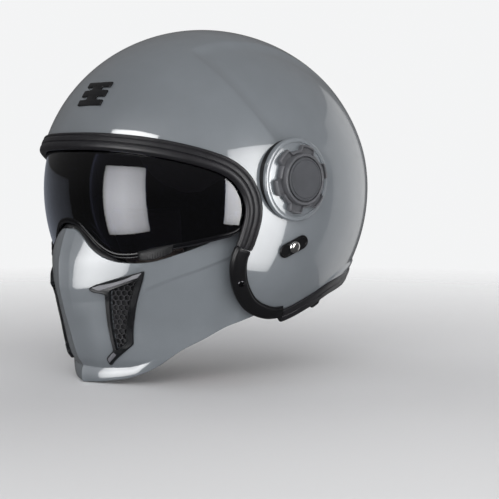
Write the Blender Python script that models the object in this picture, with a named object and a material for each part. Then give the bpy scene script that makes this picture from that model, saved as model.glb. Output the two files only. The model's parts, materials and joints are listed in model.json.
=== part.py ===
"""Open-face motorcycle helmet with a drop-down visor and a detachable chin guard.

Metres, +Z up. The wearer faces -Y and the wearer's left is +X. Every shape is worked out about
the centre of the shell, and the empty "helmet" carries that centre to its place, so that the
origin is the bottom centre of the whole helmet.
"""

import math

import bmesh
import bpy
import numpy as np

# Driving dimensions of the shell, an ellipsoid with its own half-length in each direction.
SHELL_HALF_WIDTH = 0.121
SHELL_FRONT = 0.1365
SHELL_BACK = 0.1415
SHELL_TOP = 0.126
SHELL_LOWER = 0.137
SHELL_WALL = 0.0028
SHELL_ROWS = 11
CENTRE = np.array([0.0, -0.0021, 0.1455])
GAP = 0.0003
SHELL_COLUMNS = 72
POLE = np.array([0.0, 0.5, 0.8660254])  # where the shell's rows of points start

# The cut edge of the shell, left half, from the middle of the brow to the middle of the nape.
EDGE_POINTS = (
    (0.000, -0.134, 0.0335),
    (0.047, -0.123, 0.0320),
    (0.076, -0.103, 0.0275),
    (0.098, -0.079, 0.0200),
    (0.107, -0.063, 0.0125),
    (0.112, -0.053, 0.0010),
    (0.113, -0.048, -0.0150),
    (0.109, -0.050, -0.0340),
    (0.102, -0.053, -0.0510),
    (0.096, -0.047, -0.0700),
    (0.089, -0.031, -0.0860),
    (0.086, -0.010, -0.0940),
    (0.087, 0.006, -0.0935),
    (0.092, 0.030, -0.0850),
    (0.092, 0.055, -0.0760),
    (0.075, 0.088, -0.0710),
    (0.042, 0.114, -0.0690),
    (0.000, 0.126, -0.0680),
)
TRIM_JOINT = (0.108, -0.0505, -0.0420)  # where the ribbed brow trim meets the hard side trim
BASE_JOINT = (0.087, 0.0040, -0.0935)  # where the side trim meets the base trim

# Visor: its hinge line runs along X through the two round knobs.
PIVOT = np.array([0.0, -0.012, 0.0075])
VISOR_DRAW = 0.008  # a full raise also draws the lens this far back along its slotted arms
VISOR_INSET = 0.0042
VISOR_ARM_INSET = 0.0016  # the arms lie this much deeper
VISOR_WALL = 0.0022
VISOR_ARM_END = 98.0  # degrees round from the front
VISOR_LOWER_EDGE = (  # degrees round from the front, degrees of elevation
    (0, -15.1),
    (4, -15.7),
    (7, -17.0),
    (10.5, -20.0),
    (14.5, -23.9),
    (20, -27.0),
    (25, -27.6),
    (30, -27.3),
    (35, -26.2),
    (40, -25.2),
    (45, -24.4),
    (52, -23.2),
    (61, -21.4),
    (68, -19.4),
    (73, -16.0),
    (79, -10.0),
    (85, -7.5),
    (98, -6.5),
)
VISOR_UPPER_EDGE = ((0, 21.0), (50, 21.0), (68, 16.0), (80, 9.0), (87, 7.0), (98, 6.5))
VISOR_SLOT_RADIUS = 0.0064

# Pivot stack on each side, as distances from the middle plane.
GASKET_FACE = 0.1216
PLATE_FACE = 0.1244
KNOB_FACE = 0.1326
RING_RADIUS = 0.0308
KNOB_RADIUS = 0.0213
KNOB_LOBE = 0.0042
KNOB_LOBES = 6
SHAFT_RADIUS = 0.006
HUB_FACE = 0.1086
HUB_INNER_END = 0.1060

# Chin guard: plan sections about a point behind the mouth.
GUARD_CENTRE_Y = -0.030
GUARD_WALL = 0.0028
GUARD_PLAN = (  # t, share of the half-width, share of the forward reach
    (0, 0.00, 1.000),
    (1, 0.30, 0.900),
    (2, 0.66, 0.660),
    (3, 0.93, 0.330),
    (4, 1.00, 0.000),
)
GUARD_HALF_WIDTH = (
    (-0.152, 0.0760),
    (-0.146, 0.0750),
    (-0.140, 0.0740),
    (-0.126, 0.0775),
    (-0.100, 0.0785),
    (-0.084, 0.0825),
    (-0.067, 0.0890),
    (-0.050, 0.0945),
    (-0.028, 0.0975),
)
GUARD_REACH = (
    (-0.152, 0.0910),
    (-0.146, 0.0885),
    (-0.140, 0.0845),
    (-0.126, 0.0915),
    (-0.090, 0.1035),
    (-0.066, 0.1070),
    (-0.050, 0.1065),
    (-0.040, 0.1040),
    (-0.028, 0.1000),
)
GUARD_TOP = (
    (0.00, -0.0292),
    (0.27, -0.0298),
    (0.58, -0.0354),
    (0.88, -0.0433),
    (1.14, -0.0489),
    (1.40, -0.0523),
    (1.65, -0.0534),
    (2.00, -0.0525),
    (2.45, -0.0465),
    (2.90, -0.0390),
    (3.30, -0.0325),
    (3.60, -0.0300),
    (3.80, -0.0330),
)
GUARD_BOTTOM = (
    (0.0, -0.1455),
    (1.0, -0.1430),
    (1.6, -0.1390),
    (2.1, -0.1310),
    (2.6, -0.1190),
    (3.2, -0.1095),
    (3.7, -0.1030),
    (4.5, -0.0960),
)
GUARD_REAR = ((-0.096, 4.45), (-0.060, 3.95), (-0.040, 3.80))
SEAL_REACH = 1.55  # how far round the guard its rubber seal runs
GUARD_WING = 0.032  # length along Y of one unit of t behind the centre

# Liner
FOAM_INNER = 0.030
FOAM_POCKET = 0.0205
FOAM_BACK = 0.0048

# Chin strap
STRAP_HALF_WIDTH = 0.009
STRAP_HALF_WALL = 0.0009

PAINT = (0.225, 0.250, 0.265)
BLACK = (0.018, 0.018, 0.020)
RUBBER = (0.030, 0.030, 0.033)
SMOKE = (0.010, 0.012, 0.022)
STEEL = (0.75, 0.74, 0.72)
FOAM = (0.060, 0.060, 0.062)
CLOTH = (0.100, 0.085, 0.078)
WEBBING = (0.022, 0.022, 0.024)
RED = (0.700, 0.030, 0.020)


# ---------------------------------------------------------------- scene helpers


def clear_scene():
    for obj in list(bpy.data.objects):
        bpy.data.objects.remove(obj, do_unlink=True)


def material(name, colour, roughness, metallic=0.0):
    found = bpy.data.materials.new(name)
    found.use_nodes = True
    shader = found.node_tree.nodes["Principled BSDF"]
    shader.inputs["Base Color"].default_value = (*colour, 1.0)
    shader.inputs["Roughness"].default_value = roughness
    shader.inputs["Metallic"].default_value = metallic
    return found


def empty(name, place, parent=None):
    """An empty at a place about the shell centre, under the helmet's own empty."""
    obj = bpy.data.objects.new(name, None)
    bpy.context.scene.collection.objects.link(obj)
    obj.parent = parent
    obj.location = place
    return obj


def piece(name, shape, finish, parent, origin=(0.0, 0.0, 0.0), smooth=True):
    """One named object. Its points are about the shell centre, its own origin is the parent's."""
    points, faces = shape
    mesh = bpy.data.meshes.new(name)
    mesh.from_pydata([tuple(p) for p in np.asarray(points) - np.asarray(origin)], [], faces)
    work = bmesh.new()
    work.from_mesh(mesh)
    bmesh.ops.remove_doubles(work, verts=work.verts, dist=1e-6)
    loose = [edge for edge in work.edges if not edge.link_faces]
    bmesh.ops.delete(work, geom=loose, context="EDGES")
    bmesh.ops.triangulate(work, faces=[face for face in work.faces if len(face.verts) > 4])
    bmesh.ops.recalc_face_normals(work, faces=work.faces)
    work.to_mesh(mesh)
    work.free()
    mesh.materials.append(finish)
    if smooth:
        mesh.shade_smooth()
        mesh.set_sharp_from_angle(angle=math.radians(35))
    obj = bpy.data.objects.new(name, mesh)
    obj.parent = parent
    bpy.context.scene.collection.objects.link(obj)
    return obj


def cut(obj, shape, parent, origin=(0.0, 0.0, 0.0)):
    """Cuts a shape out of an object with a hidden cutter."""
    count = len([m for m in obj.modifiers if m.type == "BOOLEAN"])
    cutter = piece(f"{obj.name}_cutter_{count}", shape, obj.data.materials[0], parent, origin, False)
    cutter.hide_render = True
    cutter.display_type = "WIRE"
    change = obj.modifiers.new("Cut", "BOOLEAN")
    change.operation = "DIFFERENCE"
    change.solver = "EXACT"
    change.object = cutter


def mirrored(shape):
    points, faces = shape
    return np.asarray(points) * (-1.0, 1.0, 1.0), [tuple(reversed(face)) for face in faces]


def pair(name, shape, finish, parent, origin=(0.0, 0.0, 0.0), smooth=True):
    """The left piece and its mirror image on the right."""
    left = piece(f"{name}_left", shape, finish, parent, origin, smooth)
    right = piece(f"{name}_right", mirrored(shape), finish, parent, origin, smooth)
    return left, right


# ---------------------------------------------------------------- curves and solids


def smooth_value(table, at):
    """A smooth curve through a table whose first column rises, read at one value or an array."""
    rows = np.asarray(table, float)
    x, y = rows[:, 0], rows[:, 1]
    slope = np.gradient(y, x)
    at = np.clip(at, x[0], x[-1])
    i = np.clip(np.searchsorted(x, at, side="right") - 1, 0, len(x) - 2)
    width = x[i + 1] - x[i]
    t = (at - x[i]) / width
    return (
        y[i] * (1 + 2 * t) * (1 - t) ** 2
        + slope[i] * width * t * (1 - t) ** 2
        + y[i + 1] * t**2 * (3 - 2 * t)
        + slope[i + 1] * width * t**2 * (t - 1)
    )


def step(value):
    """0 below 0, 1 above 1, and smooth between."""
    value = np.clip(value, 0.0, 1.0)
    return value * value * (3 - 2 * value)


def unit(vectors):
    return vectors / np.linalg.norm(vectors, axis=-1, keepdims=True)


def curve_through(points, count, closed=False):
    """Evenly spaced points along a Catmull-Rom curve."""
    points = np.asarray(points, float)
    if closed:
        path = np.concatenate([points[-1:], points, points[:2]])
    else:
        path = np.concatenate([2 * points[:1] - points[1:2], points, 2 * points[-1:] - points[-2:-1]])
    fine = []
    for a, b, c, d in zip(path[:-3], path[1:-2], path[2:-1], path[3:]):
        for t in np.arange(0, 1, 1 / 16):
            fine.append(
                0.5 * (2 * b + (c - a) * t + (2 * a - 5 * b + 4 * c - d) * t**2
                       + (3 * b - 3 * c + d - a) * t**3)
            )
    fine.append(path[-2])
    fine = np.array(fine)
    length = np.concatenate([[0], np.cumsum(np.linalg.norm(np.diff(fine, axis=0), axis=1))])
    stops = np.linspace(0, length[-1], count + 1 if closed else count)
    if closed:
        stops = stops[:-1]
    return np.stack([np.interp(stops, length, fine[:, k]) for k in range(3)], axis=1)


def loft(rings, closed=False):
    """A solid through rings of points, either end to end or with a cap on each end."""
    rings = np.asarray(rings, float)
    count, size, _ = rings.shape
    faces = []
    for i in range(count if closed else count - 1):
        for j in range(size):
            a, b = i * size, ((i + 1) % count) * size
            k = (j + 1) % size
            faces.append((a + j, a + k, b + k, b + j))
    if not closed:
        faces.append(tuple(range(size)))
        faces.append(tuple(range((count - 1) * size, count * size)))
    return rings.reshape(-1, 3), faces


def sheet(outer, inner, wrap=False, pole=False):
    """A closed wall between two grids of points, whose columns may wrap round to a pole."""
    rows, columns, _ = outer.shape
    points = np.concatenate([outer.reshape(-1, 3), inner.reshape(-1, 3)])

    def at(side, row, column):
        return side * rows * columns + row * columns + column % columns

    faces = []
    across = columns if wrap else columns - 1
    for i in range(rows - 1):
        for j in range(across):
            for side in (0, 1):
                near = (at(side, i, j), at(side, i, j + 1))
                far = (at(side, i + 1, j + 1), at(side, i + 1, j))
                faces.append(near + far)
    for i in (rows - 1,) if pole else (0, rows - 1):
        for j in range(across):
            faces.append((at(0, i, j), at(0, i, j + 1), at(1, i, j + 1), at(1, i, j)))
    if not wrap:
        for j in (0, columns - 1):
            for i in range(rows - 1):
                faces.append((at(0, i, j), at(0, i + 1, j), at(1, i + 1, j), at(1, i, j)))
    return points, faces


def turned(profile, segments=24, lobes=None):
    """A solid turned about the hinge line from a profile of (distance from the middle, radius)."""
    rings = []
    for x, radius in profile:
        ring = []
        for k in range(segments):
            angle = 2 * math.pi * k / segments
            reach = radius + (lobes(angle) if lobes and radius > 0.0198 else 0.0)
            ring.append((x, PIVOT[1] + reach * math.sin(angle), PIVOT[2] + reach * math.cos(angle)))
        rings.append(ring)
    return loft(rings)


def block(centre, along, across, up, size, bevel=0.0):
    """A block with chamfered long edges, given its middle, its three directions and its size."""
    length, width, height = (0.5 * s for s in size)
    outline = [
        (-width, -height + bevel), (-width + bevel, -height), (width - bevel, -height),
        (width, -height + bevel), (width, height - bevel), (width - bevel, height),
        (-width + bevel, height), (-width, height - bevel),
    ] if bevel else [(-width, -height), (width, -height), (width, height), (-width, height)]
    along, across, up = (unit(np.asarray(v, float)) for v in (along, across, up))
    rings = [
        [np.asarray(centre) + along * end + across * a + up * b for a, b in outline]
        for end in (-length, length)
    ]
    return loft(rings)


# ---------------------------------------------------------------- the shell's own surface


def half_axes(points, inset):
    half = np.empty(points.shape)
    half[..., 0] = SHELL_HALF_WIDTH - inset
    half[..., 1] = np.where(points[..., 1] < 0, SHELL_FRONT, SHELL_BACK) - inset
    half[..., 2] = np.where(points[..., 2] > 0, SHELL_TOP, SHELL_LOWER) - inset
    return half


def on_shell(direction, inset=0.0):
    """The point of the shell's ellipsoid in each direction, moved in by the inset."""
    direction = np.asarray(direction, float)
    inset = np.broadcast_to(inset, direction.shape[:-1])
    half = half_axes(direction, np.asarray(inset))
    return direction / np.linalg.norm(direction / half, axis=-1, keepdims=True)


def shell_normal(points):
    return unit(points / half_axes(points, 0.0) ** 2)


def under_shell(direction, depth):
    """Points at an even depth under the shell's surface."""
    surface = on_shell(direction)
    return surface - shell_normal(surface) * depth


def edge_loop(count):
    left = list(EDGE_POINTS)
    right = [(-x, y, z) for x, y, z in left[-2:0:-1]]
    return on_shell(curve_through(left + right, count, closed=True))


def dome(loop, rows, inset, reach=1.0):
    """A grid from the pole at the back of the crown to the edge loop, closer towards the edge."""
    ends = unit(loop)
    angle = np.arccos(np.clip(ends @ POLE, -1, 1))[:, None]
    grid = []
    for rest in np.linspace(1.0, 0.0, rows):
        turned_by = angle * reach * (1 - rest**1.5)
        direction = (np.sin(angle - turned_by) * POLE + np.sin(turned_by) * ends) / np.sin(angle)
        surface = on_shell(direction)
        depth = inset(surface)[:, None] if callable(inset) else inset
        grid.append(surface - shell_normal(surface) * depth)
    return np.array(grid)


def crease_depth(point):
    """The quarters behind the crown's creases lie a little lower than the forehead and the spine."""
    behind = (point[..., 1] + 0.0245 + 0.51 * (point[..., 2] - 0.035)) * 0.89
    outboard = np.abs(point[..., 0]) - 0.050
    above = step((point[..., 2] - 0.030) / 0.030)
    towards_back = 1 - step((point[..., 1] - 0.010) / 0.100)
    return 0.0014 * step(np.minimum(behind, outboard) / 0.006) * above * towards_back


def foam_depth(point):
    """The liner foam stands back at the front and sides, which leaves a pocket for the visor."""
    limit = 0.018 - 0.8 * np.maximum(point[..., 2] - 0.010, 0.0)
    pocket = step((limit + 0.014 - point[..., 1]) / 0.014)
    return FOAM_BACK + (FOAM_POCKET - FOAM_BACK) * pocket


# ---------------------------------------------------------------- the visor's own surface


def on_visor(round_deg, up_deg, inset):
    """A point of the visor, which lies just inside the shell's surface carried on below the brow."""
    a, e = np.radians(round_deg), np.radians(up_deg)
    ray = np.stack([np.sin(a) * np.cos(e), -np.cos(a) * np.cos(e), np.sin(e)], axis=-1)
    low, high = np.zeros(ray.shape[:-1]), np.full(ray.shape[:-1], 0.2)
    inset = inset + VISOR_ARM_INSET * step((np.abs(round_deg) - 76.0) / 10.0)
    for _ in range(40):
        middle = 0.5 * (low + high)
        point = PIVOT + ray * middle[..., None]
        inside = np.linalg.norm(point / half_axes(point, inset), axis=-1) < 1
        low, high = np.where(inside, middle, low), np.where(inside, high, middle)
    return PIVOT + ray * low[..., None]


def visor_grid(columns, rows, inset):
    round_deg = np.linspace(-VISOR_ARM_END, VISOR_ARM_END, columns)
    lower = smooth_value(VISOR_LOWER_EDGE, np.abs(round_deg))
    upper = smooth_value(VISOR_UPPER_EDGE, np.abs(round_deg))
    share = np.linspace(0, 1, rows)[:, None]
    up_deg = lower + (upper - lower) * share
    return on_visor(np.broadcast_to(round_deg, up_deg.shape), up_deg, inset)


# ---------------------------------------------------------------- the chin guard's own surface


def on_guard(t, z, inset=0.0):
    """A point of the chin guard's outer face: t runs from the middle, 0, round to the wings, 4 on."""
    t, z = np.broadcast_arrays(np.asarray(t, float), np.asarray(z, float))
    round_t = np.minimum(np.abs(t), 4.0)
    rows = np.asarray(GUARD_PLAN)
    across = smooth_value(rows[:, [0, 1]], round_t)
    ahead = smooth_value(rows[:, [0, 2]], round_t)
    x = np.sign(t) * across * (smooth_value(GUARD_HALF_WIDTH, z) - inset)
    y = GUARD_CENTRE_Y - ahead * (smooth_value(GUARD_REACH, z) - inset)
    y = y + GUARD_WING * np.maximum(np.abs(t) - 4.0, 0.0)
    return np.stack([x, y, z], axis=-1)


def guard_edge(table, share_across):
    """Height of an edge at each share of the way from the middle to the back of a wing."""
    z = smooth_value(table, share_across * 4)
    for _ in range(8):
        z = smooth_value(table, share_across * smooth_value(GUARD_REAR, z))
    return z


def guard_grid(columns, rows, inset):
    share_across = np.linspace(-1, 1, columns)
    top, bottom = (guard_edge(table, np.abs(share_across)) for table in (GUARD_TOP, GUARD_BOTTOM))
    share = np.linspace(0, 1, rows)[:, None]
    z = bottom + (top - bottom) * share
    reach = smooth_value(GUARD_REAR, z)
    return on_guard(share_across * reach, z, inset)


def guard_patch(outline, low, high, spacing=0.35):
    """A solid slab on the chin guard's face, from an outline of (t, z) and two heights above it."""
    closed = list(outline) + [outline[0]]
    ring = []
    for (t0, z0), (t1, z1) in zip(closed[:-1], closed[1:]):
        pieces = max(1, math.ceil(max(abs(t1 - t0) / spacing, abs(z1 - z0) / 0.012)))
        for k in range(pieces):
            ring.append((t0 + (t1 - t0) * k / pieces, z0 + (z1 - z0) * k / pieces))
    ring = np.array(ring)
    return loft([on_guard(ring[:, 0], ring[:, 1], -height) for height in (low, high)])


# ---------------------------------------------------------------- trims along the shell's edge

TRIM_PROFILE = (  # millimetres past the shell's edge, millimetres outside its surface
    (-8.9, 0.4), (-9.2, 1.1), (-8.4, 1.8), (-6.0, 2.0), (-3.0, 2.4), (0.4, 2.6), (2.6, 1.9),
    (3.6, 0.2), (3.4, -1.8), (2.2, -3.2), (0.5, -3.2), (0.5, 0.4),
)
BASE_PROFILE = (
    (-4.5, 0.4), (-4.8, 1.4), (-2.0, 2.6), (4.5, 3.2), (8.4, 2.6), (9.0, 0.8), (8.4, -2.4),
    (4.0, -3.6), (0.5, -3.6), (0.5, 0.4),
)


class Edge:
    """The shell's edge as a path with a frame at each point: along it, out of the shell, past it."""

    def __init__(self, count=10 * SHELL_COLUMNS):
        self.points = edge_loop(count)
        self.along = unit(np.roll(self.points, -1, axis=0) - np.roll(self.points, 1, axis=0))
        self.out = shell_normal(self.points)
        self.past = unit(np.cross(self.out, self.along))
        if (self.past @ POLE).mean() > 0:
            self.past = -self.past
        self.count = count

    def nearest(self, point):
        gap = np.linalg.norm(self.points - np.asarray(point), axis=1)
        return int(np.argmin(gap)) / self.count

    def place(self, share, past, out):
        """A point near the edge, given in metres past it and outside it."""
        i = int(round(share * self.count)) % self.count
        return self.points[i] + self.past[i] * past + self.out[i] * out

    def frame(self, share):
        i = int(round(share * self.count)) % self.count
        return self.along[i], self.past[i], self.out[i]

    def sweep(self, profile, start, end):
        """A length of trim, with a section at each corner of the shell's own edge."""
        first = math.floor(start * SHELL_COLUMNS) + 1
        last = math.ceil(end * SHELL_COLUMNS) - 1
        shares = [start, *(k / SHELL_COLUMNS for k in range(first, last + 1)), end]
        rings = [[self.place(s, a / 1000, b / 1000) for a, b in profile] for s in shares]
        return loft(rings)


# ---------------------------------------------------------------- pieces of the shell


def build_shell(helmet, finish):
    loop = edge_loop(SHELL_COLUMNS)
    outer = dome(loop, SHELL_ROWS, crease_depth)
    inner = dome(loop, SHELL_ROWS, SHELL_WALL)
    shell = piece("outer_shell", sheet(outer, inner, wrap=True, pole=True), finish["paint"], helmet)
    for side in (1, -1):
        hole = turned(((0.110 * side, 0.0072), (0.126 * side, 0.0072)), 16)
        cut(shell, hole, helmet)
    for side in (1, -1):
        place, _, _, out = rivet_frame(side)
        hole = round_bar(place - out * 0.008, place + out * 0.004, 0.0032, 12)
        cut(shell, hole, helmet)
    return shell


def round_bar(start, end, radius, segments=14):
    """A round bar between two points."""
    axis = unit(np.asarray(end, float) - np.asarray(start, float))
    side = unit(np.cross(axis, (0.0, 0.0, 1.0) if abs(axis[2]) < 0.9 else (0.0, 1.0, 0.0)))
    other = np.cross(axis, side)
    turn = [2 * math.pi * k / segments for k in range(segments)]
    rings = [
        [end_point + radius * (side * math.cos(a) + other * math.sin(a)) for a in turn]
        for end_point in (np.asarray(start, float), np.asarray(end, float))
    ]
    return loft(rings)


def rivet_frame(side):
    """Place and directions of the strap rivet's plate, whose long way rises towards the back."""
    place = on_shell(np.array([0.115 * side, -0.008, -0.042]))
    out = shell_normal(place)
    back = np.array([0.0, 1.0, 0.0])
    level = unit(back - out * (back @ out))
    rise = np.cross(level, out) * side
    if rise[2] < 0:
        rise = -rise
    tilt = math.radians(25)
    along = level * math.cos(tilt) + rise * math.sin(tilt)
    across = np.cross(out, along)
    return place, along, across, out


def oval(place, along, across, out, length, width, low, high, segments=20):
    """A slab with round ends, standing off a place by two heights."""
    rings = []
    for height in (low, high):
        ring = []
        for k in range(segments):
            angle = 2 * math.pi * (k + 0.5) / segments
            shift = 0.5 * (length - width) * (1 if math.cos(angle) > 0 else -1)
            ring.append(
                place + along * (shift + 0.5 * width * math.cos(angle))
                + across * 0.5 * width * math.sin(angle) + out * height
            )
        rings.append(ring)
    return loft(rings)


def build_rivets(helmet, finish):
    for side, name in ((1, "left"), (-1, "right")):
        place, along, across, out = rivet_frame(side)
        plate = piece(
            f"rivet_plate_{name}", oval(place, along, across, out, 0.026, 0.011, 0.0003, 0.0016),
            finish["plastic"], helmet,
        )
        cut(plate, round_bar(place - out * 0.003, place + out * 0.005, 0.0032, 12), helmet)
        shank = round_bar(place - out * 0.0044, place + out * 0.0019, 0.0026, 12)
        rivet = piece(f"strap_rivet_{name}", shank, finish["steel"], helmet)
        head = round_bar(place + out * 0.0019 - out * 0.0001, place + out * 0.0034, 0.0042, 14)
        join(rivet, head, helmet)


def join(obj, shape, parent, origin=(0.0, 0.0, 0.0)):
    """Joins a second shape to an object."""
    count = len([m for m in obj.modifiers if m.type == "BOOLEAN"])
    other = piece(f"{obj.name}_addition_{count}", shape, obj.data.materials[0], parent, origin, False)
    other.hide_render = True
    other.display_type = "WIRE"
    change = obj.modifiers.new("Join", "BOOLEAN")
    change.operation = "UNION"
    change.solver = "EXACT"
    change.object = other


def build_trims(helmet, finish, edge):
    joint = edge.nearest(TRIM_JOINT)
    base = edge.nearest(BASE_JOINT)
    seam = 0.0008
    piece("opening_trim", edge.sweep(TRIM_PROFILE, -joint, joint), finish["rubber"], helmet)
    side_sweep = edge.sweep(TRIM_PROFILE, joint + seam, base)
    pair("side_trim", side_sweep, finish["plastic"], helmet)
    rear_sweep = edge.sweep(BASE_PROFILE, base + seam, 1 - base - seam)
    piece("base_trim", rear_sweep, finish["rubber"], helmet)
    screw_at = edge.nearest((0.096, -0.047, -0.068))
    along, past, out = edge.frame(screw_at)
    seat = edge.place(screw_at, -0.0036, 0.0030)
    pair("trim_screw", round_bar(seat, seat + out * 0.0011, 0.0026, 12), finish["steel"], helmet)
    tab_at = edge.nearest((0.092, 0.038, -0.081))
    along, past, out = edge.frame(tab_at)
    tab = block(edge.place(tab_at, 0.0124, -0.0008), along, out, past, (0.011, 0.0040, 0.0056), 0.0008)
    pair("rear_tab", tab, finish["plastic"], helmet)


def build_badge(helmet, finish):
    """Three short bars joined by a spine, on the forehead."""
    middle = on_shell(np.array([0.0095, -0.1130, 0.0717]))
    out = shell_normal(middle)
    across = unit(np.cross((0.0, 0.0, 1.0), out))
    up = np.cross(out, across)
    outline = (
        (-13, -11), (13, -11), (13, -6), (5, -6), (5, -3), (13, -3), (13, 3), (5, 3), (5, 6),
        (13, 6), (13, 11), (-13, 11), (-13, 6), (-5, 6), (-5, 3), (-13, 3), (-13, -3), (-5, -3),
        (-5, -6), (-13, -6),
    )
    rings = []
    for height in (-0.0007, -0.0016):
        ring = []
        for a, b in outline:
            flat = middle + across * (a / 1000) + up * (b / 1000)
            ring.append(on_shell(flat, height))
        rings.append(ring)
    piece("shell_badge", loft(rings), finish["plastic"], helmet)


# ---------------------------------------------------------------- pivots and visor


def seat_ring(radius, segments, side):
    """Points just off the shell at a distance from the hinge line."""
    ring = []
    for k in range(segments):
        angle = 2 * math.pi * k / segments
        y = PIVOT[1] + radius * math.sin(angle)
        z = PIVOT[2] + radius * math.cos(angle)
        half_y = SHELL_FRONT if y < 0 else SHELL_BACK
        half_z = SHELL_TOP if z > 0 else SHELL_LOWER
        x = SHELL_HALF_WIDTH * math.sqrt(1 - (y / half_y) ** 2 - (z / half_z) ** 2)
        ring.append((side * (x + 0.0005), y, z))
    return ring


def flat_ring(radius, x, segments):
    turn = [2 * math.pi * k / segments for k in range(segments)]
    return [(x, PIVOT[1] + radius * math.sin(a), PIVOT[2] + radius * math.cos(a)) for a in turn]


def knob_lobes(angle):
    """Six broad teeth round the knob, with sloping sides."""
    turn = (angle / (2 * math.pi) * KNOB_LOBES + 0.25) % 1.0
    return KNOB_LOBE * float(step((0.30 - abs(turn - 0.5)) / 0.10))


def build_pivots(helmet, visor, finish):
    size = 24
    gasket = loft(
        [
            seat_ring(0.0200, size, 1), seat_ring(RING_RADIUS + 0.0005, size, 1),
            flat_ring(RING_RADIUS + 0.0005, GASKET_FACE, size), flat_ring(0.0200, GASKET_FACE, size),
        ],
        closed=True,
    )
    pair("pivot_gasket", gasket, finish["rubber"], helmet)
    back, face = GASKET_FACE + GAP, PLATE_FACE
    plate = loft(
        [
            flat_ring(0.0068, back, size), flat_ring(RING_RADIUS, back, size),
            flat_ring(RING_RADIUS, face - 0.0009, size), flat_ring(RING_RADIUS - 0.0009, face, size),
            flat_ring(0.0068, face, size),
        ],
        closed=True,
    )
    pair("pivot_plate", plate, finish["paint"], helmet)
    base = PLATE_FACE + GAP
    knob = turned(
        (
            (base, KNOB_RADIUS), (base + 0.0040, KNOB_RADIUS), (base + 0.0046, KNOB_RADIUS - 0.0006),
            (base + 0.0046, 0.0197), (KNOB_FACE - 0.0006, 0.0194), (KNOB_FACE, 0.0188),
            (KNOB_FACE, 0.0166), (KNOB_FACE - 0.0018, 0.0164),
        ),
        36,
        knob_lobes,
    )
    pair("pivot_knob", knob, finish["plastic"], visor, PIVOT)
    cap_low = KNOB_FACE - 0.0018 + GAP
    cap = turned(((cap_low, 0.0160), (KNOB_FACE - 0.0004, 0.0160), (KNOB_FACE + 0.0001, 0.0154)), 20)
    pair("pivot_cap", cap, finish["plastic"], visor, PIVOT)
    shaft = turned(((HUB_FACE + 0.0002, SHAFT_RADIUS), (PLATE_FACE, SHAFT_RADIUS)), 16)
    pair("pivot_shaft", shaft, finish["steel"], visor, PIVOT)
    hub = turned(((HUB_INNER_END, 0.0085), (HUB_INNER_END + 0.0016, 0.0100), (HUB_FACE, 0.0100)), 16)
    pair("visor_hub", hub, finish["plastic"], visor, PIVOT)


def build_visor(visor, finish):
    outer = visor_grid(41, 6, VISOR_INSET)
    inner = visor_grid(41, 6, VISOR_INSET + VISOR_WALL)
    lens = piece("visor_lens", sheet(outer, inner), finish["lens"], visor, PIVOT)
    for side in (1, -1):
        join(lens, visor_tab(side), visor, PIVOT)
        middle = PIVOT + np.array([0.115 * side, -0.5 * VISOR_DRAW, 0.0])
        slot = oval(
            middle, np.array([0, 1.0, 0]), np.array([0, 0, 1.0]), np.array([1.0, 0, 0]),
            VISOR_DRAW + 2 * VISOR_SLOT_RADIUS, 2 * VISOR_SLOT_RADIUS, -0.010, 0.010,
        )
        cut(lens, slot, visor, PIVOT)


def visor_tab(side):
    """A finger tab on the visor's lower edge, flared away from the face."""
    rings = []
    for round_deg in (31.0, 34.0, 41.0, 44.0):
        root = float(smooth_value(VISOR_LOWER_EDGE, round_deg))
        drop = 1.5 if 32 < round_deg < 43 else 0.4
        ring = []
        for up_deg, height in (
            (root + 1.6, 0.0004), (root - drop, 0.0036), (root - drop, 0.0018), (root + 1.6, -0.0016),
        ):
            point = on_visor(np.array(side * round_deg), np.array(up_deg), VISOR_INSET)
            ring.append(point + unit(point - PIVOT) * height)
        rings.append(ring)
    return loft(rings)


# ---------------------------------------------------------------- chin guard

VENT_FRAME = (  # t round the guard, height
    (0.928, -0.0734), (0.984, -0.0715), (1.940, -0.0590), (1.930, -0.0659), (1.702, -0.1144),
    (1.079, -0.1314), (1.059, -0.1255), (1.271, -0.1194), (1.271, -0.0769), (1.020, -0.0755),
)
VENT_WINDOW = ((1.370, -0.0741), (1.813, -0.0665), (1.583, -0.1121), (1.345, -0.1191))


def grown(outline, amount_t, amount_z):
    """An outline moved away from its own middle."""
    middle = np.mean(outline, axis=0)
    return [
        (t + math.copysign(amount_t, t - middle[0]), z + math.copysign(amount_z, z - middle[1]))
        for t, z in outline
    ]


def flipped(outline):
    return [(-t, z) for t, z in outline]


def build_guard(guard, finish):
    origin = guard.location
    outer = guard_grid(41, 8, 0.0)
    inner = guard_grid(41, 8, GUARD_WALL)
    shell = piece("chin_guard", sheet(outer, inner), finish["paint"], guard, origin)
    opening = grown(VENT_WINDOW, 0.012, 0.0008)
    for outline in (opening, flipped(opening)):
        cut(shell, guard_patch(outline, -0.012, 0.006), guard, origin)
    for name, turn in (("left", lambda o: o), ("right", flipped)):
        frame = piece(
            f"vent_frame_{name}", guard_patch(turn(VENT_FRAME), 0.0014, 0.0028),
            finish["plastic"], guard, origin,
        )
        cut(frame, guard_patch(turn(VENT_WINDOW), -0.004, 0.006), guard, origin)
        mesh = grown(VENT_WINDOW, -0.006, -0.0004)
        piece(
            f"vent_mesh_{name}", guard_patch(turn(mesh), -0.0020, -0.0008),
            finish["plastic"], guard, origin,
        )
    build_guard_seal(guard, finish)
    build_guard_inside(guard, finish)


def build_guard_seal(guard, finish):
    """A rubber bead that stands on the guard's upper edge, over the nose."""
    rings = []
    for t in np.linspace(-SEAL_REACH, SEAL_REACH, 19):
        z = float(smooth_value(GUARD_TOP, abs(t)))
        rings.append(
            [
                on_guard(t, z + rise, inset)
                for inset, rise in ((-0.0002, 0.0008), (0.0000, 0.0028), (0.0012, 0.0034),
                                    (0.0026, 0.0026), (0.0030, 0.0008))
            ]
        )
    piece("chin_guard_seal", loft(rings), finish["rubber"], guard, guard.location)


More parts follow.
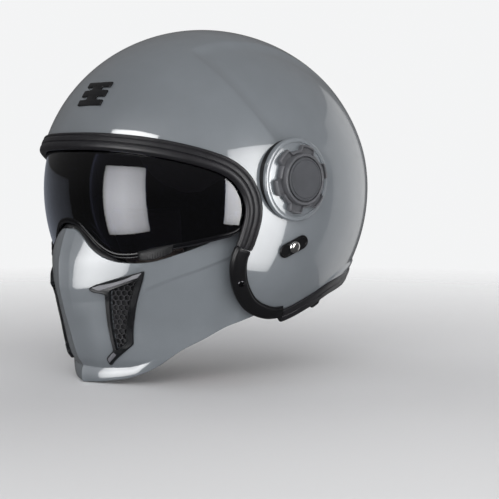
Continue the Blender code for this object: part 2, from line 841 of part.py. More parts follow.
def build_guard_inside(guard, finish):
    """A foam pad across the chin, and a hook at the back of each wing."""
    across = np.linspace(-2.4, 2.4, 25)
    height = np.linspace(0, 1, 3)[:, None]
    low = smooth_value(GUARD_BOTTOM, np.abs(across)) + 0.014
    high = np.full(across.shape, -0.0800)
    z = low + (np.maximum(high, low + 0.02) - low) * height
    outer = on_guard(np.broadcast_to(across, z.shape), z, GUARD_WALL + 0.0010)
    inner = on_guard(np.broadcast_to(across, z.shape), z, GUARD_WALL + 0.0090)
    piece("chin_pad", sheet(outer, inner), finish["foam"], guard, guard.location)
    middle = on_guard(3.8, -0.058, GUARD_WALL + 0.0019)
    hook = block(middle, (0, 1, 0), (0.24, 0, 0.97), (0.97, 0, -0.24), (0.014, 0.010, 0.0016), 0.0004)
    pair("guard_hook", hook, finish["steel"], guard, guard.location)


# ---------------------------------------------------------------- liner


def lon_lat_grid(lon, lat, columns, rows):
    """Directions over a patch: longitude from +X towards +Y, and latitude, in degrees."""
    lon, lat = np.meshgrid(
        np.radians(np.linspace(*lon, columns)), np.radians(np.linspace(*lat, rows))
    )
    return np.stack([np.cos(lat) * np.cos(lon), np.cos(lat) * np.sin(lon), np.sin(lat)], axis=-1)


def build_liner(helmet, finish):
    loop = edge_loop(44)
    outer = dome(loop, 8, foam_depth, 0.940)
    inner = dome(loop, 8, FOAM_INNER, 0.940)
    piece("foam_liner", sheet(outer, inner, wrap=True, pole=True), finish["foam"], helmet)
    outer = dome(loop, 5, FOAM_INNER + 0.0018, 0.62)
    inner = dome(loop, 5, FOAM_INNER + 0.0098, 0.62)
    piece("crown_pad", sheet(outer, inner, wrap=True, pole=True), finish["cloth"], helmet)
    patch = lon_lat_grid((-24, 22), (-45, -12), 7, 5)
    cheek = sheet(under_shell(patch, FOAM_INNER + 0.0015), under_shell(patch, FOAM_INNER + 0.0180))
    pair("cheek_pad", cheek, finish["cloth"], helmet)
    patch = lon_lat_grid((52, 128), (-28, -12), 13, 3)
    roll = sheet(under_shell(patch, FOAM_INNER + 0.0015), under_shell(patch, FOAM_INNER + 0.0130))
    piece("neck_roll", roll, finish["cloth"], helmet)


# ---------------------------------------------------------------- chin strap and buckle

STRAP_PATH = (
    (0.1085, -0.0080, -0.0420), (0.1025, -0.0060, -0.0600), (0.0920, -0.0035, -0.0770),
    (0.0780, -0.0035, -0.0865), (0.0620, -0.0120, -0.0940), (0.0440, -0.0250, -0.1005),
    (0.0200, -0.0370, -0.1050), (0.0000, -0.0400, -0.1060),
)
STRAP_TAIL = ((-0.0200, -0.0372, -0.1063), (0.0000, -0.0402, -0.1117), (0.0120, -0.0400, -0.1109))
BUCKLE_PLACE = (0.0400, -0.0272, -0.1017)


def webbing(points, steps):
    """A flat strap along a path, its wide way kept near the front-to-back direction."""
    path = curve_through(points, steps)
    along = unit(np.gradient(path, axis=0))
    rings = []
    for place, direction in zip(path, along):
        wide = np.array([0.0, 1.0, 0.0])
        wide = unit(wide - direction * (wide @ direction))
        flat = np.cross(direction, wide)
        rings.append(
            [
                place + wide * a * STRAP_HALF_WIDTH + flat * b * STRAP_HALF_WALL
                for a, b in ((-1, -1), (1, -1), (1, 1), (-1, 1))
            ]
        )
    return loft(rings)


def build_strap(helmet, lever, tongue, finish):
    path = list(STRAP_PATH)
    left = [*path[:4], (0.0640, -0.0110, -0.0930)]
    piece("chin_strap_left", webbing(left, 12), finish["webbing"], helmet)
    right = [(-x, y, z) for x, y, z in (np.array(p) for p in path)]
    right = [*right[:6], *STRAP_TAIL]
    piece("chin_strap_right", webbing(right, 18), finish["webbing"], helmet)
    lay = [(-0.050, -0.0210, -0.0985), (-0.034, -0.0305, -0.1027), (-0.012, -0.0385, -0.1055)]
    pad = webbing(lay, 7)
    shift = np.array([0.0, 0.0, 0.0035])
    piece("strap_pad", (pad[0] + shift, pad[1]), finish["cloth"], helmet)
    slider_place = np.array([-0.0700, -0.0080, -0.0952])
    slope = unit(np.array([0.68, -0.28, -0.50]))
    slider = block(slider_place, slope, (0, 1, 0), np.cross(slope, (0, 1, 0)),
                   (0.014, 0.024, 0.0030), 0.0006)
    piece("strap_slider", slider, finish["plastic"], helmet)
    build_buckle(helmet, lever, tongue, finish)


def buckle_axes():
    """Directions of the buckle: towards the strap's far side, forwards and up."""
    along = unit(np.array([-0.885, -0.425, -0.185]))
    across = unit(np.cross((0, 0, 1.0), along))
    up = np.cross(along, across)
    return along, across, up


def build_buckle(helmet, lever, tongue, finish):
    along, across, up = buckle_axes()
    place = np.array(BUCKLE_PLACE)
    body = piece(
        "buckle_body", block(place, along, across, up, (0.034, 0.022, 0.0090), 0.0012),
        finish["plastic"], helmet,
    )
    slot = block(place + up * 0.0006 + along * 0.006, along, across, up, (0.040, 0.0150, 0.0034))
    cut(body, slot, helmet)
    well = block(place - up * 0.0049 + along * 0.0020, along, across, up, (0.034, 0.0120, 0.0060))
    cut(body, well, helmet)
    strip_at = place + up * 0.0006 + along * 0.0130
    strip = block(strip_at, along, across, up, (0.032, 0.0140, 0.0020), 0.0004)
    piece("buckle_tongue", strip, finish["plastic"], tongue, tongue.location)
    hinge = np.array(lever.location)
    grip_at = hinge + along * 0.0130 - up * 0.0026
    grip = block(grip_at, along, across, up, (0.026, 0.0100, 0.0026), 0.0006)
    piece("buckle_lever", grip, finish["red"], lever, lever.location)
    pin = round_bar(hinge - across * 0.0056, hinge + across * 0.0056, 0.0009, 8)
    piece("buckle_pin", pin, finish["steel"], lever, lever.location)


def main():
    clear_scene()
    finish = {
        "paint": material("painted_shell", PAINT, 0.18),
        "plastic": material("black_plastic", BLACK, 0.42),
        "rubber": material("trim_rubber", RUBBER, 0.55),
        "lens": material("smoked_lens", SMOKE, 0.05),
        "steel": material("bright_steel", STEEL, 0.22, 1.0),
        "foam": material("liner_foam", FOAM, 0.85),
        "cloth": material("liner_cloth", CLOTH, 0.95),
        "webbing": material("strap_webbing", WEBBING, 0.85),
        "red": material("buckle_red", RED, 0.35),
    }
    helmet = empty("helmet", CENTRE)
    pivot = empty("visor_hinge", PIVOT, helmet)
    visor = empty("visor_draw", (0.0, 0.0, 0.0), pivot)
    guard = empty("chin_guard_release", (0.0, GUARD_CENTRE_Y, -0.060), helmet)
    along, _, up = buckle_axes()
    lever_hinge = np.array(BUCKLE_PLACE) - along * 0.0120 - up * 0.0030
    lever = empty("buckle_lever_hinge", lever_hinge, helmet)
    tongue = empty("buckle_tongue_slide", BUCKLE_PLACE, helmet)
    build_shell(helmet, finish)
    build_liner(helmet, finish)
    build_trims(helmet, finish, Edge())
    build_rivets(helmet, finish)
    build_badge(helmet, finish)
    build_pivots(helmet, pivot, finish)
    build_visor(visor, finish)
    build_guard(guard, finish)
    build_strap(helmet, lever, tongue, finish)


main()
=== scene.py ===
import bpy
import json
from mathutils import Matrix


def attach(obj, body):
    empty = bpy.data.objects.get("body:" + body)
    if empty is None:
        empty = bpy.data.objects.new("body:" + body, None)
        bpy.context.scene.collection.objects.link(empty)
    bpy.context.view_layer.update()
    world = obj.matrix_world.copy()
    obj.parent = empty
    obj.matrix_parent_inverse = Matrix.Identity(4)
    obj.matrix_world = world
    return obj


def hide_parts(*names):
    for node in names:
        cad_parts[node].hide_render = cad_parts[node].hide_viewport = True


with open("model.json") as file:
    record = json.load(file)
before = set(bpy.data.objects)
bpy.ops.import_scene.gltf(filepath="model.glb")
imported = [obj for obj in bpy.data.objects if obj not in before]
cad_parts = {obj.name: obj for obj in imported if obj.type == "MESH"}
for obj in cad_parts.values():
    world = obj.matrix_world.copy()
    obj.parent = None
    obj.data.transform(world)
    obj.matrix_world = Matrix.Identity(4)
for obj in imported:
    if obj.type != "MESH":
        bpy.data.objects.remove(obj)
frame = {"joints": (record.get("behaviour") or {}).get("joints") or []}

"""Looks of the open-face motorcycle helmet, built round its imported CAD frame.

Metres, +Z up. The wearer faces -Y and the wearer's left is +X. Shapes are worked out about the
centre of the shell, which lies at a fixed offset from the visor's hinge in the frame.
"""

import json
import math

import bmesh
import bpy
import numpy as np
from mathutils import Vector
from mathutils.geometry import tessellate_polygon

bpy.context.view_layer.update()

# Driving dimensions, shared with the CAD parts.
SHELL_HALF_WIDTH = 0.121
SHELL_FRONT = 0.1365
SHELL_BACK = 0.1415
SHELL_TOP = 0.126
SHELL_LOWER = 0.137
SHELL_WALL = 0.0028
SHELL_COLUMNS = 72
POLE = np.array([0.0, 0.5, 0.8660254])
PIVOT = np.array([0.0, -0.012, 0.0075])
HINGE = next(j for j in frame["joints"] if j["name"] == "visor_turn")
CENTRE = np.array(HINGE["pos_m"]) - PIVOT

# The shell's edge on its left half, from the brow's middle round to the nape's.
EDGE_POINTS = (
    (0.000, -0.134, 0.0335), (0.047, -0.123, 0.0320), (0.076, -0.103, 0.0275),
    (0.098, -0.079, 0.0200), (0.107, -0.063, 0.0125), (0.112, -0.053, 0.0010),
    (0.113, -0.048, -0.0150), (0.109, -0.050, -0.0340), (0.102, -0.053, -0.0510),
    (0.096, -0.047, -0.0700), (0.089, -0.031, -0.0860), (0.086, -0.010, -0.0940),
    (0.087, 0.006, -0.0935), (0.092, 0.030, -0.0850), (0.092, 0.055, -0.0760),
    (0.075, 0.088, -0.0710), (0.042, 0.114, -0.0690), (0.000, 0.126, -0.0680),
)
TRIM_JOINT = (0.108, -0.0505, -0.0420)
BASE_JOINT = (0.087, 0.0040, -0.0935)

SIDES = ((-1, "right"), (1, "left"))

# Edges of the visor are (degrees round the hinge line's middle, degrees up) pairs.
VISOR_DRAW = 0.008
VISOR_INSET = 0.0042
VISOR_ARM_INSET = 0.0016
VISOR_WALL = 0.0022
VISOR_ARM_END = 98.0
VISOR_SLOT_RADIUS = 0.0064
VISOR_LOWER_EDGE = (
    (0, -15.1), (4, -15.7), (7, -17.0), (10.5, -20.0), (14.5, -23.9), (20, -27.0), (25, -27.6),
    (30, -27.3), (35, -26.2), (40, -25.2), (45, -24.4), (52, -23.2), (61, -21.4), (68, -19.4),
    (73, -16.0), (79, -10.0), (85, -7.5), (98, -6.5),
)
VISOR_UPPER_EDGE = ((0, 21.0), (50, 21.0), (68, 16.0), (80, 9.0), (87, 7.0), (98, 6.5))

GASKET_FACE = 0.1216
PLATE_FACE = 0.1244
KNOB_FACE = 0.1326
KNOB_CORE = 19.0  # millimetres, the radius past which its lobes stand out
KNOB_LOBE = 0.0042
KNOB_LOBES = 6

# The guard's plan is (t, across, ahead), where t runs from its middle, 0, round to its wings, 4 on.
# Its widths and reaches go by height, and its edges, seal and vents are (t, height) pairs.
GUARD_CENTRE_Y = -0.030
GUARD_WALL = 0.0028
GUARD_WING = 0.032
GUARD_PLAN = (
    (0, 0.00, 1.000), (1, 0.30, 0.900), (2, 0.66, 0.660), (3, 0.93, 0.330), (4, 1.00, 0.000),
)
GUARD_HALF_WIDTH = (
    (-0.152, 0.0760), (-0.146, 0.0750), (-0.140, 0.0740), (-0.126, 0.0775), (-0.100, 0.0785),
    (-0.084, 0.0825), (-0.067, 0.0890), (-0.050, 0.0945), (-0.028, 0.0975),
)
GUARD_REACH = (
    (-0.152, 0.0910), (-0.146, 0.0885), (-0.140, 0.0845), (-0.126, 0.0915), (-0.090, 0.1035),
    (-0.066, 0.1070), (-0.050, 0.1065), (-0.040, 0.1040), (-0.028, 0.1000),
)
GUARD_TOP = (
    (0.00, -0.0292), (0.27, -0.0298), (0.58, -0.0354), (0.88, -0.0433), (1.14, -0.0489),
    (1.40, -0.0523), (1.65, -0.0534), (2.00, -0.0525), (2.45, -0.0465), (2.90, -0.0390),
    (3.30, -0.0325), (3.60, -0.0300), (3.80, -0.0330),
)
GUARD_BOTTOM = (
    (0.0, -0.1455), (1.0, -0.1430), (1.6, -0.1390), (2.1, -0.1310), (2.6, -0.1190),
    (3.2, -0.1095), (3.7, -0.1030), (4.5, -0.0960),
)
GUARD_REAR = ((-0.096, 4.45), (-0.060, 3.95), (-0.040, 3.80))
SEAL_REACH = 1.55
VENT_FRAME = (
    (0.928, -0.0734), (0.984, -0.0715), (1.940, -0.0590), (1.930, -0.0659), (1.702, -0.1144),
    (1.079, -0.1314), (1.059, -0.1255), (1.271, -0.1194), (1.271, -0.0769), (1.020, -0.0755),
)
VENT_WINDOW = ((1.370, -0.0741), (1.813, -0.0665), (1.583, -0.1121), (1.345, -0.1191))

FOAM_INNER = 0.030
FOAM_POCKET = 0.0205
FOAM_BACK = 0.0048


# ---------------------------------------------------------------- numbers and curves


def smooth_value(table, at):
    """A smooth curve through a table whose first column rises."""
    rows = np.asarray(table, float)
    x, y = rows[:, 0], rows[:, 1]
    slope = np.gradient(y, x)
    at = np.clip(at, x[0], x[-1])
    i = np.clip(np.searchsorted(x, at, side="right") - 1, 0, len(x) - 2)
    width = x[i + 1] - x[i]
    t = (at - x[i]) / width
    return (
        y[i] * (1 + 2 * t) * (1 - t) ** 2
        + slope[i] * width * t * (1 - t) ** 2
        + y[i + 1] * t**2 * (3 - 2 * t)
        + slope[i + 1] * width * t**2 * (t - 1)
    )


def step(value):
    """0 below 0, 1 above 1, and smooth between."""
    value = np.clip(value, 0.0, 1.0)
    return value * value * (3 - 2 * value)


def unit(vectors):
    vectors = np.asarray(vectors, float)
    return vectors / np.linalg.norm(vectors, axis=-1, keepdims=True)


def around(count):
    """Evenly spaced angles round a circle."""
    return np.linspace(0, 2 * math.pi, count, endpoint=False)


def curve_through(points, count, closed=False):
    """Evenly spaced points along a Catmull-Rom curve."""
    points = np.asarray(points, float)
    if closed:
        path = np.concatenate([points[-1:], points, points[:2]])
    else:
        path = np.concatenate([2 * points[:1] - points[1:2], points, 2 * points[-1:] - points[-2:-1]])
    t = np.arange(0, 1, 1 / 32)[:, None]
    fine = []
    for a, b, c, d in zip(path[:-3], path[1:-2], path[2:-1], path[3:]):
        fine.append(
            0.5 * (2 * b + (c - a) * t + (2 * a - 5 * b + 4 * c - d) * t**2
                   + (3 * b - 3 * c + d - a) * t**3)
        )
    fine = np.concatenate([*fine, path[-2:-1]])
    length = np.concatenate([[0], np.cumsum(np.linalg.norm(np.diff(fine, axis=0), axis=1))])
    stops = np.linspace(0, length[-1], count + 1 if closed else count)
    if closed:
        stops = stops[:-1]
    return np.stack([np.interp(stops, length, fine[:, k]) for k in range(fine.shape[1])], axis=1)


def rounded(outline, radius, steps=5):
    """A closed 2-D outline with its corners rounded."""
    outline = np.asarray(outline, float)
    result = []
    for i, corner in enumerate(outline):
        before, after = outline[i - 1] - corner, outline[(i + 1) % len(outline)] - corner
        reach = min(radius, 0.45 * np.linalg.norm(before), 0.45 * np.linalg.norm(after))
        start, end = corner + unit(before) * reach, corner + unit(after) * reach
        for k in range(steps + 1):
            t = k / steps
            result.append((1 - t) ** 2 * start + 2 * t * (1 - t) * corner + t * t * end)
    return np.array(result)


# ---------------------------------------------------------------- meshes


def loft(rings, closed=False, caps=True):
    """A skin through rings of points, end to end or with a cap on each end."""
    rings = np.asarray(rings, float)
    count, size, _ = rings.shape
    i = np.arange(count if closed else count - 1)[:, None]
    j = np.arange(size)[None, :]
    a, b, k = i * size, ((i + 1) % count) * size, (j + 1) % size
    faces = np.stack(np.broadcast_arrays(a + j, a + k, b + k, b + j), axis=-1).reshape(-1, 4)
    faces = faces.tolist()
    if caps and not closed:
        faces.append(list(range(size)))
        faces.append(list(range((count - 1) * size, count * size)))
    return rings.reshape(-1, 3), faces


def band(rows):
    """A long closed skin from the rows of points that run along it."""
    return loft(np.array(rows).transpose(1, 0, 2))


def sheet(outer, inner, wrap=False, pole=False):
    """A closed wall between two grids of points, whose columns may wrap round to a pole."""
    rows, columns, _ = outer.shape
    points = np.concatenate([outer.reshape(-1, 3), inner.reshape(-1, 3)])
    across = columns if wrap else columns - 1
    i = np.arange(rows - 1)[:, None]
    j = np.arange(across)[None, :]
    near, far = j, (j + 1) % columns
    side = np.stack(
        np.broadcast_arrays(
            i * columns + near, i * columns + far, (i + 1) * columns + far, (i + 1) * columns + near
        ),
        axis=-1,
    ).reshape(-1, 4)
    other = rows * columns
    faces = [side, side[:, ::-1] + other]
    for row in (rows - 1,) if pole else (0, rows - 1):
        a = row * columns + near[0]
        b = row * columns + far[0]
        faces.append(np.stack([a, b, b + other, a + other], axis=-1))
    if not wrap:
        for column in (0, columns - 1):
            a = i[:, 0] * columns + column
            faces.append(np.stack([a, a + columns, a + columns + other, a + other], axis=-1))
    return points, np.concatenate(faces).tolist()


def mirrored(shape):
    points, faces = shape
    return np.asarray(points) * (-1.0, 1.0, 1.0), [face[::-1] for face in faces]


def merged(*shapes):
    """Several shapes as one mesh."""
    points, faces, offset = [], [], 0
    for shape_points, shape_faces in shapes:
        points.append(np.asarray(shape_points, float))
        faces += [[v + offset for v in face] for face in shape_faces]
        offset += len(shape_points)
    return np.concatenate(points), faces


def shape_mesh(name, shape):
    """A mesh of a shape about the shell centre, with its normals outwards."""
    points, faces = shape
    mesh = bpy.data.meshes.new(name)
    mesh.from_pydata((np.asarray(points) + CENTRE).tolist(), [], faces)
    work = bmesh.new()
    work.from_mesh(mesh)
    bmesh.ops.remove_doubles(work, verts=work.verts, dist=2e-6)
    loose = [edge for edge in work.edges if not edge.link_faces]
    bmesh.ops.delete(work, geom=loose, context="EDGES")
    bmesh.ops.recalc_face_normals(work, faces=work.faces)
    work.to_mesh(mesh)
    work.free()
    return mesh


def add_object(name, data):
    obj = bpy.data.objects.new(name, data)
    bpy.context.scene.collection.objects.link(obj)
    return obj


def ride_body(obj, body, node):
    """Let a visible piece ride on a body, standing for a CAD node if it has one."""
    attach(obj, body)
    if node:
        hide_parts(node)
    return obj


def piece(name, shape, finish, body, node=None, crease=32.0):
    """One visible piece about the shell centre, in a finish, on a body."""
    material, usual_slot = FINISHES[finish]
    mesh = shape_mesh(name, shape)
    mesh.materials.append(material)
    mesh.shade_smooth()
    mesh.set_sharp_from_angle(angle=math.radians(crease))
    return ride_body(add_object(name, mesh), body, node)


def pair(name, shape, finish, body, crease=32.0):
    """The left piece and its mirror image, each standing for the CAD node of the same name."""
    for side, form in (("left", shape), ("right", mirrored(shape))):
        node = f"{name}_{side}"
        piece(f"{node}_look", form, finish, body, node, crease)


def keep(obj):
    """The mesh as its modifiers leave it, with the modifiers gone."""
    bpy.context.view_layer.update()
    shaped = obj.evaluated_get(bpy.context.evaluated_depsgraph_get())
    mesh = bpy.data.meshes.new_from_object(shaped)
    obj.modifiers.clear()
    obj.data = mesh


def cut_out(obj, *shapes):
    """Cut closed shapes out of a piece."""
    for shape in shapes:
        cutter = add_object("cutter", shape_mesh("cutter", shape))
        cut = obj.modifiers.new("cut", "BOOLEAN")
        cut.object, cut.operation, cut.solver = cutter, "DIFFERENCE", "EXACT"
        keep(obj)
        bpy.data.objects.remove(cutter)


def turned(face, profile, segments, lobes=None):
    """Rings turned about the hinge line, from (beyond the face, radius) pairs in millimetres."""
    angle = around(segments)
    rings = []
    for beyond, radius in profile:
        reach = radius / 1000 + (lobes(angle) if lobes and radius > KNOB_CORE else 0.0)
        x = np.full(segments, face + beyond / 1000)
        y, z = PIVOT[1] + reach * np.sin(angle), PIVOT[2] + reach * np.cos(angle)
        rings.append(np.stack([x, y, z], axis=1))
    return rings


def stacked(place, axes, outline, profile):
    """A solid from a flat outline, by (height, size) pairs. Outline and heights are in millimetres."""
    rings = []
    for height, size in profile:
        flat = np.asarray(outline) * size
        offset_mm = axes[0] * flat[:, :1] + axes[1] * flat[:, 1:] + axes[2] * height
        rings.append(place + offset_mm / 1000)
    return loft(rings)


def disc_stack(place, axis, profile, segments=28):
    """A round solid on an axis, from (height, radius) pairs in millimetres."""
    axis = unit(axis)
    side = unit(np.cross(axis, (0.0, 0.0, 1.0) if abs(axis[2]) < 0.9 else (0.0, 1.0, 0.0)))
    angle = around(segments)
    circle = np.stack([np.cos(angle), np.sin(angle)], axis=1)
    return stacked(place, (side, np.cross(axis, side), axis), circle, profile)


# ---------------------------------------------------------------- surfaces


def half_axes(points, inset):
    """Half axes of the shell's egg at an inset, which differ ahead, behind, above and below."""
    half = np.empty(points.shape)
    half[..., 0] = SHELL_HALF_WIDTH - inset
    half[..., 1] = np.where(points[..., 1] < 0, SHELL_FRONT, SHELL_BACK) - inset
    half[..., 2] = np.where(points[..., 2] > 0, SHELL_TOP, SHELL_LOWER) - inset
    return half


def on_shell(direction):
    direction = np.asarray(direction, float)
    return direction / np.linalg.norm(direction / half_axes(direction, 0.0), axis=-1, keepdims=True)


def shell_normal(points):
    return unit(points / half_axes(points, 0.0) ** 2)


def under_shell(direction, depth):
    surface = on_shell(direction)
    depth = depth(surface)[..., None] if callable(depth) else depth
    return surface - shell_normal(surface) * depth


def edge_loop(count):
    left = list(EDGE_POINTS)
    right = [(-x, y, z) for x, y, z in left[-2:0:-1]]
    return on_shell(curve_through(left + right, count, closed=True))


def dome(loop, rows, depth, reach=1.0, crowding=1.15):
    """A grid from the pole at the back of the crown to the edge loop."""
    ends = unit(loop)
    angle = np.arccos(np.clip(ends @ POLE, -1, 1))[:, None]
    grid = []
    for rest in np.linspace(1.0, 0.0, rows):
        turned_by = angle * reach * (1 - rest**crowding)
        direction = (np.sin(angle - turned_by) * POLE + np.sin(turned_by) * ends) / np.sin(angle)
        grid.append(under_shell(direction, depth))
    return np.array(grid)


CREASE_DEPTH = 0.0027
CREASE_FALL = 0.0115


def crease_depth(point):
    """The quarters behind the crown's creases lie a little lower than the forehead and the spine."""
    x, y, z = np.moveaxis(point, -1, 0)
    bow = 0.0030 * np.sin(np.clip((z - 0.035) / 0.065, 0, 1) * math.pi)
    behind = (y + 0.0245 + bow + 0.47 * (z - 0.035)) * 0.90
    outboard = np.abs(x) - 0.0495 - 0.096 * (y + 0.0435)
    corner = 0.010
    inside = np.hypot(np.minimum(behind - corner, 0), np.minimum(outboard - corner, 0))
    in_corner = (behind < corner) | (outboard < corner)
    distance = np.where(in_corner, corner - inside, np.minimum(behind, outboard))
    above = step((z - 0.020) / 0.030)
    towards_back = 1 - step((y - 0.020) / 0.095)
    fall = 1 - (1 - np.clip(distance / CREASE_FALL, 0, 1)) ** 2
    return CREASE_DEPTH * fall * above * towards_back


def foam_depth(point):
    """The liner foam stands back at the front and sides, which leaves a pocket for the visor."""
    limit = 0.018 - 0.8 * np.maximum(point[..., 2] - 0.010, 0.0)
    pocket = step((limit + 0.014 - point[..., 1]) / 0.014)
    return FOAM_BACK + (FOAM_POCKET - FOAM_BACK) * pocket


def on_visor(round_deg, up_deg, inset):
    """A point of the visor, just inside the shell's surface carried on below the brow."""
    a, e = np.radians(round_deg), np.radians(up_deg)
    ray = np.stack([np.sin(a) * np.cos(e), -np.cos(a) * np.cos(e), np.sin(e)], axis=-1)
    low, high = np.zeros(ray.shape[:-1]), np.full(ray.shape[:-1], 0.2)
    inset = inset + VISOR_ARM_INSET * step((np.abs(round_deg) - 76.0) / 10.0)
    for _ in range(36):
        middle = 0.5 * (low + high)
        point = PIVOT + ray * middle[..., None]
        inside = np.linalg.norm(point / half_axes(point, inset), axis=-1) < 1
        low, high = np.where(inside, middle, low), np.where(inside, high, middle)
    return PIVOT + ray * low[..., None]


def on_guard(t, z, inset=0.0):
    """A point of the chin guard's face: t runs from the middle, 0, round to the wings, 4 on."""
    t, z = np.broadcast_arrays(np.asarray(t, float), np.asarray(z, float))
    round_t = np.minimum(np.abs(t), 4.0)
    rows = np.asarray(GUARD_PLAN)
    across = smooth_value(rows[:, [0, 1]], round_t)
    ahead = smooth_value(rows[:, [0, 2]], round_t)
    x = np.sign(t) * across * (smooth_value(GUARD_HALF_WIDTH, z) - inset)
    y = GUARD_CENTRE_Y - ahead * (smooth_value(GUARD_REACH, z) - inset)
    y = y + GUARD_WING * np.maximum(np.abs(t) - 4.0, 0.0)
    return np.stack([x, y, z], axis=-1)


def guard_edge(table, share_across):
    """Height of an edge at each share of the way from the middle to the back of a wing."""
    z = smooth_value(table, share_across * 4)
    for _ in range(8):
        z = smooth_value(table, share_across * smooth_value(GUARD_REAR, z))
    return z


def distance_to_path(points, path):
    """Distance of 2-D points from a path, signed: positive on the path's left."""
    best = np.full(points.shape[:-1], 1e9)
    sign = np.ones(points.shape[:-1])
    for a, b in zip(path[:-1], path[1:]):
        along = b - a
        share = np.clip(((points - a) @ along) / (along @ along), 0, 1)
        gap = points - (a + share[..., None] * along)
        far = np.linalg.norm(gap, axis=-1)
        cross = along[0] * gap[..., 1] - along[1] * gap[..., 0]
        closer = far < best
        best = np.where(closer, far, best)
        sign = np.where(closer, np.where(cross >= 0, 1.0, -1.0), sign)
    return best * sign


class Edge:
    """The shell's edge as a path with directions at each point: along it, past it, out of the shell."""

    def __init__(self, count=20 * SHELL_COLUMNS):
        self.count = count
        self.points = edge_loop(count)
        self.along = unit(np.roll(self.points, -1, axis=0) - np.roll(self.points, 1, axis=0))
        self.out = shell_normal(self.points)
        self.past = unit(np.cross(self.out, self.along))
        if (self.past @ POLE).mean() > 0:
            self.past = -self.past

    def nearest(self, point):
        gap = np.linalg.norm(self.points - np.asarray(point), axis=1)
        return int(np.argmin(gap)) / self.count

    def at(self, point):
        """The edge's nearest point, and its directions there."""
        i = int(round(self.nearest(point) * self.count)) % self.count
        return self.points[i], self.along[i], self.past[i], self.out[i]

    def sweep(self, profile, start, end, ends=0.0012):
        """A length of trim with softly rounded ends. The profile is in millimetres."""
        profile = np.asarray(profile, float)
        middle = profile.mean(axis=0)
        first, last = int(round(start * self.count)), int(round(end * self.count))
        pitch = np.linalg.norm(self.points[1] - self.points[0])
        rings = []
        for index in range(first, last + 1, 2):
            from_end = min(index - first, last - index) * pitch
            swell = math.sqrt(max(0.0, 1 - (1 - min(1.0, from_end / ends)) ** 2))
            shape = (middle + (profile - middle) * (0.90 + 0.10 * swell)) / 1000
            i = index % self.count
            rings.append(self.points[i] + self.past[i] * shape[:, :1] + self.out[i] * shape[:, 1:])
        return loft(rings)


# ---------------------------------------------------------------- materials


class Nodes:
    """A node tree built up step by step."""

    def __init__(self, tree):
        self.tree = tree

    def add(self, kind, inputs=(), **settings):
        """A new node, with the values of some of its inputs, and its settings."""
        node = self.tree.nodes.new(kind)
        for key, value in dict(inputs).items():
            node.inputs[key].default_value = value
        for key, value in settings.items():
            setattr(node, key, value)
        return node

    def link(self, source, target):
        self.tree.links.new(source, target)

    def maths(self, operation, *values):
        node = self.add("ShaderNodeMath", operation=operation)
        for socket, value in zip(node.inputs, values):
            if isinstance(value, (int, float)):
                socket.default_value = value
            else:
                self.link(value, socket)
        return node.outputs[0]

    def axis(self, vector, name):
        node = self.add("ShaderNodeSeparateXYZ")
        self.link(vector, node.inputs[0])
        return node.outputs[name]

    def ramp(self, source, *stops):
        """Source remapped through (position, value) stops."""
        node = self.add("ShaderNodeValToRGB")
        elements = node.color_ramp.elements
        for at, (position, value) in enumerate(stops):
            if at >= len(elements):
                elements.new(position)
            elements[at].position = position
            elements[at].color = (*(value if isinstance(value, tuple) else (value,) * 3), 1.0)
        self.link(source, node.inputs["Fac"])
        return node.outputs["Color"]

    def mixed(self, share, first, second, output):
        """The output shows the first shader, and the second by its share."""
        mix = self.add("ShaderNodeMixShader")
        for source, socket in zip((share, first, second), mix.inputs):
            self.link(source, socket)
        self.link(mix.outputs[0], output.inputs["Surface"])


class Finish(Nodes):
    """A material built up step by step round one Principled shader."""

    def __init__(self, name, colour, roughness, metallic=0.0):
        self.material = bpy.data.materials.new(name)
        self.material.use_nodes = True
        super().__init__(self.material.node_tree)
        self.output = self.tree.nodes["Material Output"]
        self.shader = self.tree.nodes["Principled BSDF"]
        self.shader.inputs["Base Color"].default_value = (*colour, 1.0)
        self.set(Roughness=roughness, Metallic=metallic)
        self.colour = colour
        self.place = self.add("ShaderNodeTexCoord").outputs["Object"]
        self.height = None

    def set(self, **values):
        for key, value in values.items():
            self.shader.inputs[key.replace("_", " ")].default_value = value

    def texture(self, kind, scale, inputs, **settings):
        """A texture over the object."""
        node = self.add(f"ShaderNodeTex{kind}", {"Scale": scale, **inputs}, **settings)
        self.link(self.place, node.inputs["Vector"])
        return node.outputs

    def noise(self, size, detail=3.0):
        """Noise whose features are about this many metres across."""
        return self.texture("Noise", 1.0 / size, {"Detail": detail, "Roughness": 0.55})["Fac"]

    def cells(self, size, randomness=1.0):
        return self.texture("Voronoi", 1.0 / size, {"Randomness": randomness})["Distance"]

    def waves(self, size, direction, distortion=0.0):
        inputs = {"Distortion": distortion}
        return self.texture("Wave", 0.314 / size, inputs, bands_direction=direction)["Fac"]

    def crossed(self, size, first, second, distortion, operation="MULTIPLY"):
        """Waves in two directions, woven into each other."""
        waves = [self.waves(size, direction, distortion) for direction in (first, second)]
        return self.maths(operation, *waves)

    def tint(self, source, low, high):
        """Base colour that runs between two shares of the base as the source goes 0 to 1."""
        shares = ((0.25, low), (0.75, high))
        stops = [(at, tuple(min(1.0, c * share) for c in self.colour)) for at, share in shares]
        self.link(self.ramp(source, *stops), self.shader.inputs["Base Color"])

    def gloss(self, source, low, high):
        self.link(self.ramp(source, (0.25, low), (0.75, high)), self.shader.inputs["Roughness"])

    def bump(self, source, depth, strength=1.0):
        node = self.add("ShaderNodeBump", {"Distance": depth, "Strength": strength})
        self.link(source, node.inputs["Height"])
        if self.height is not None:
            self.link(self.height, node.inputs["Normal"])
        self.height = node.outputs["Normal"]
        self.link(self.height, self.shader.inputs["Normal"])


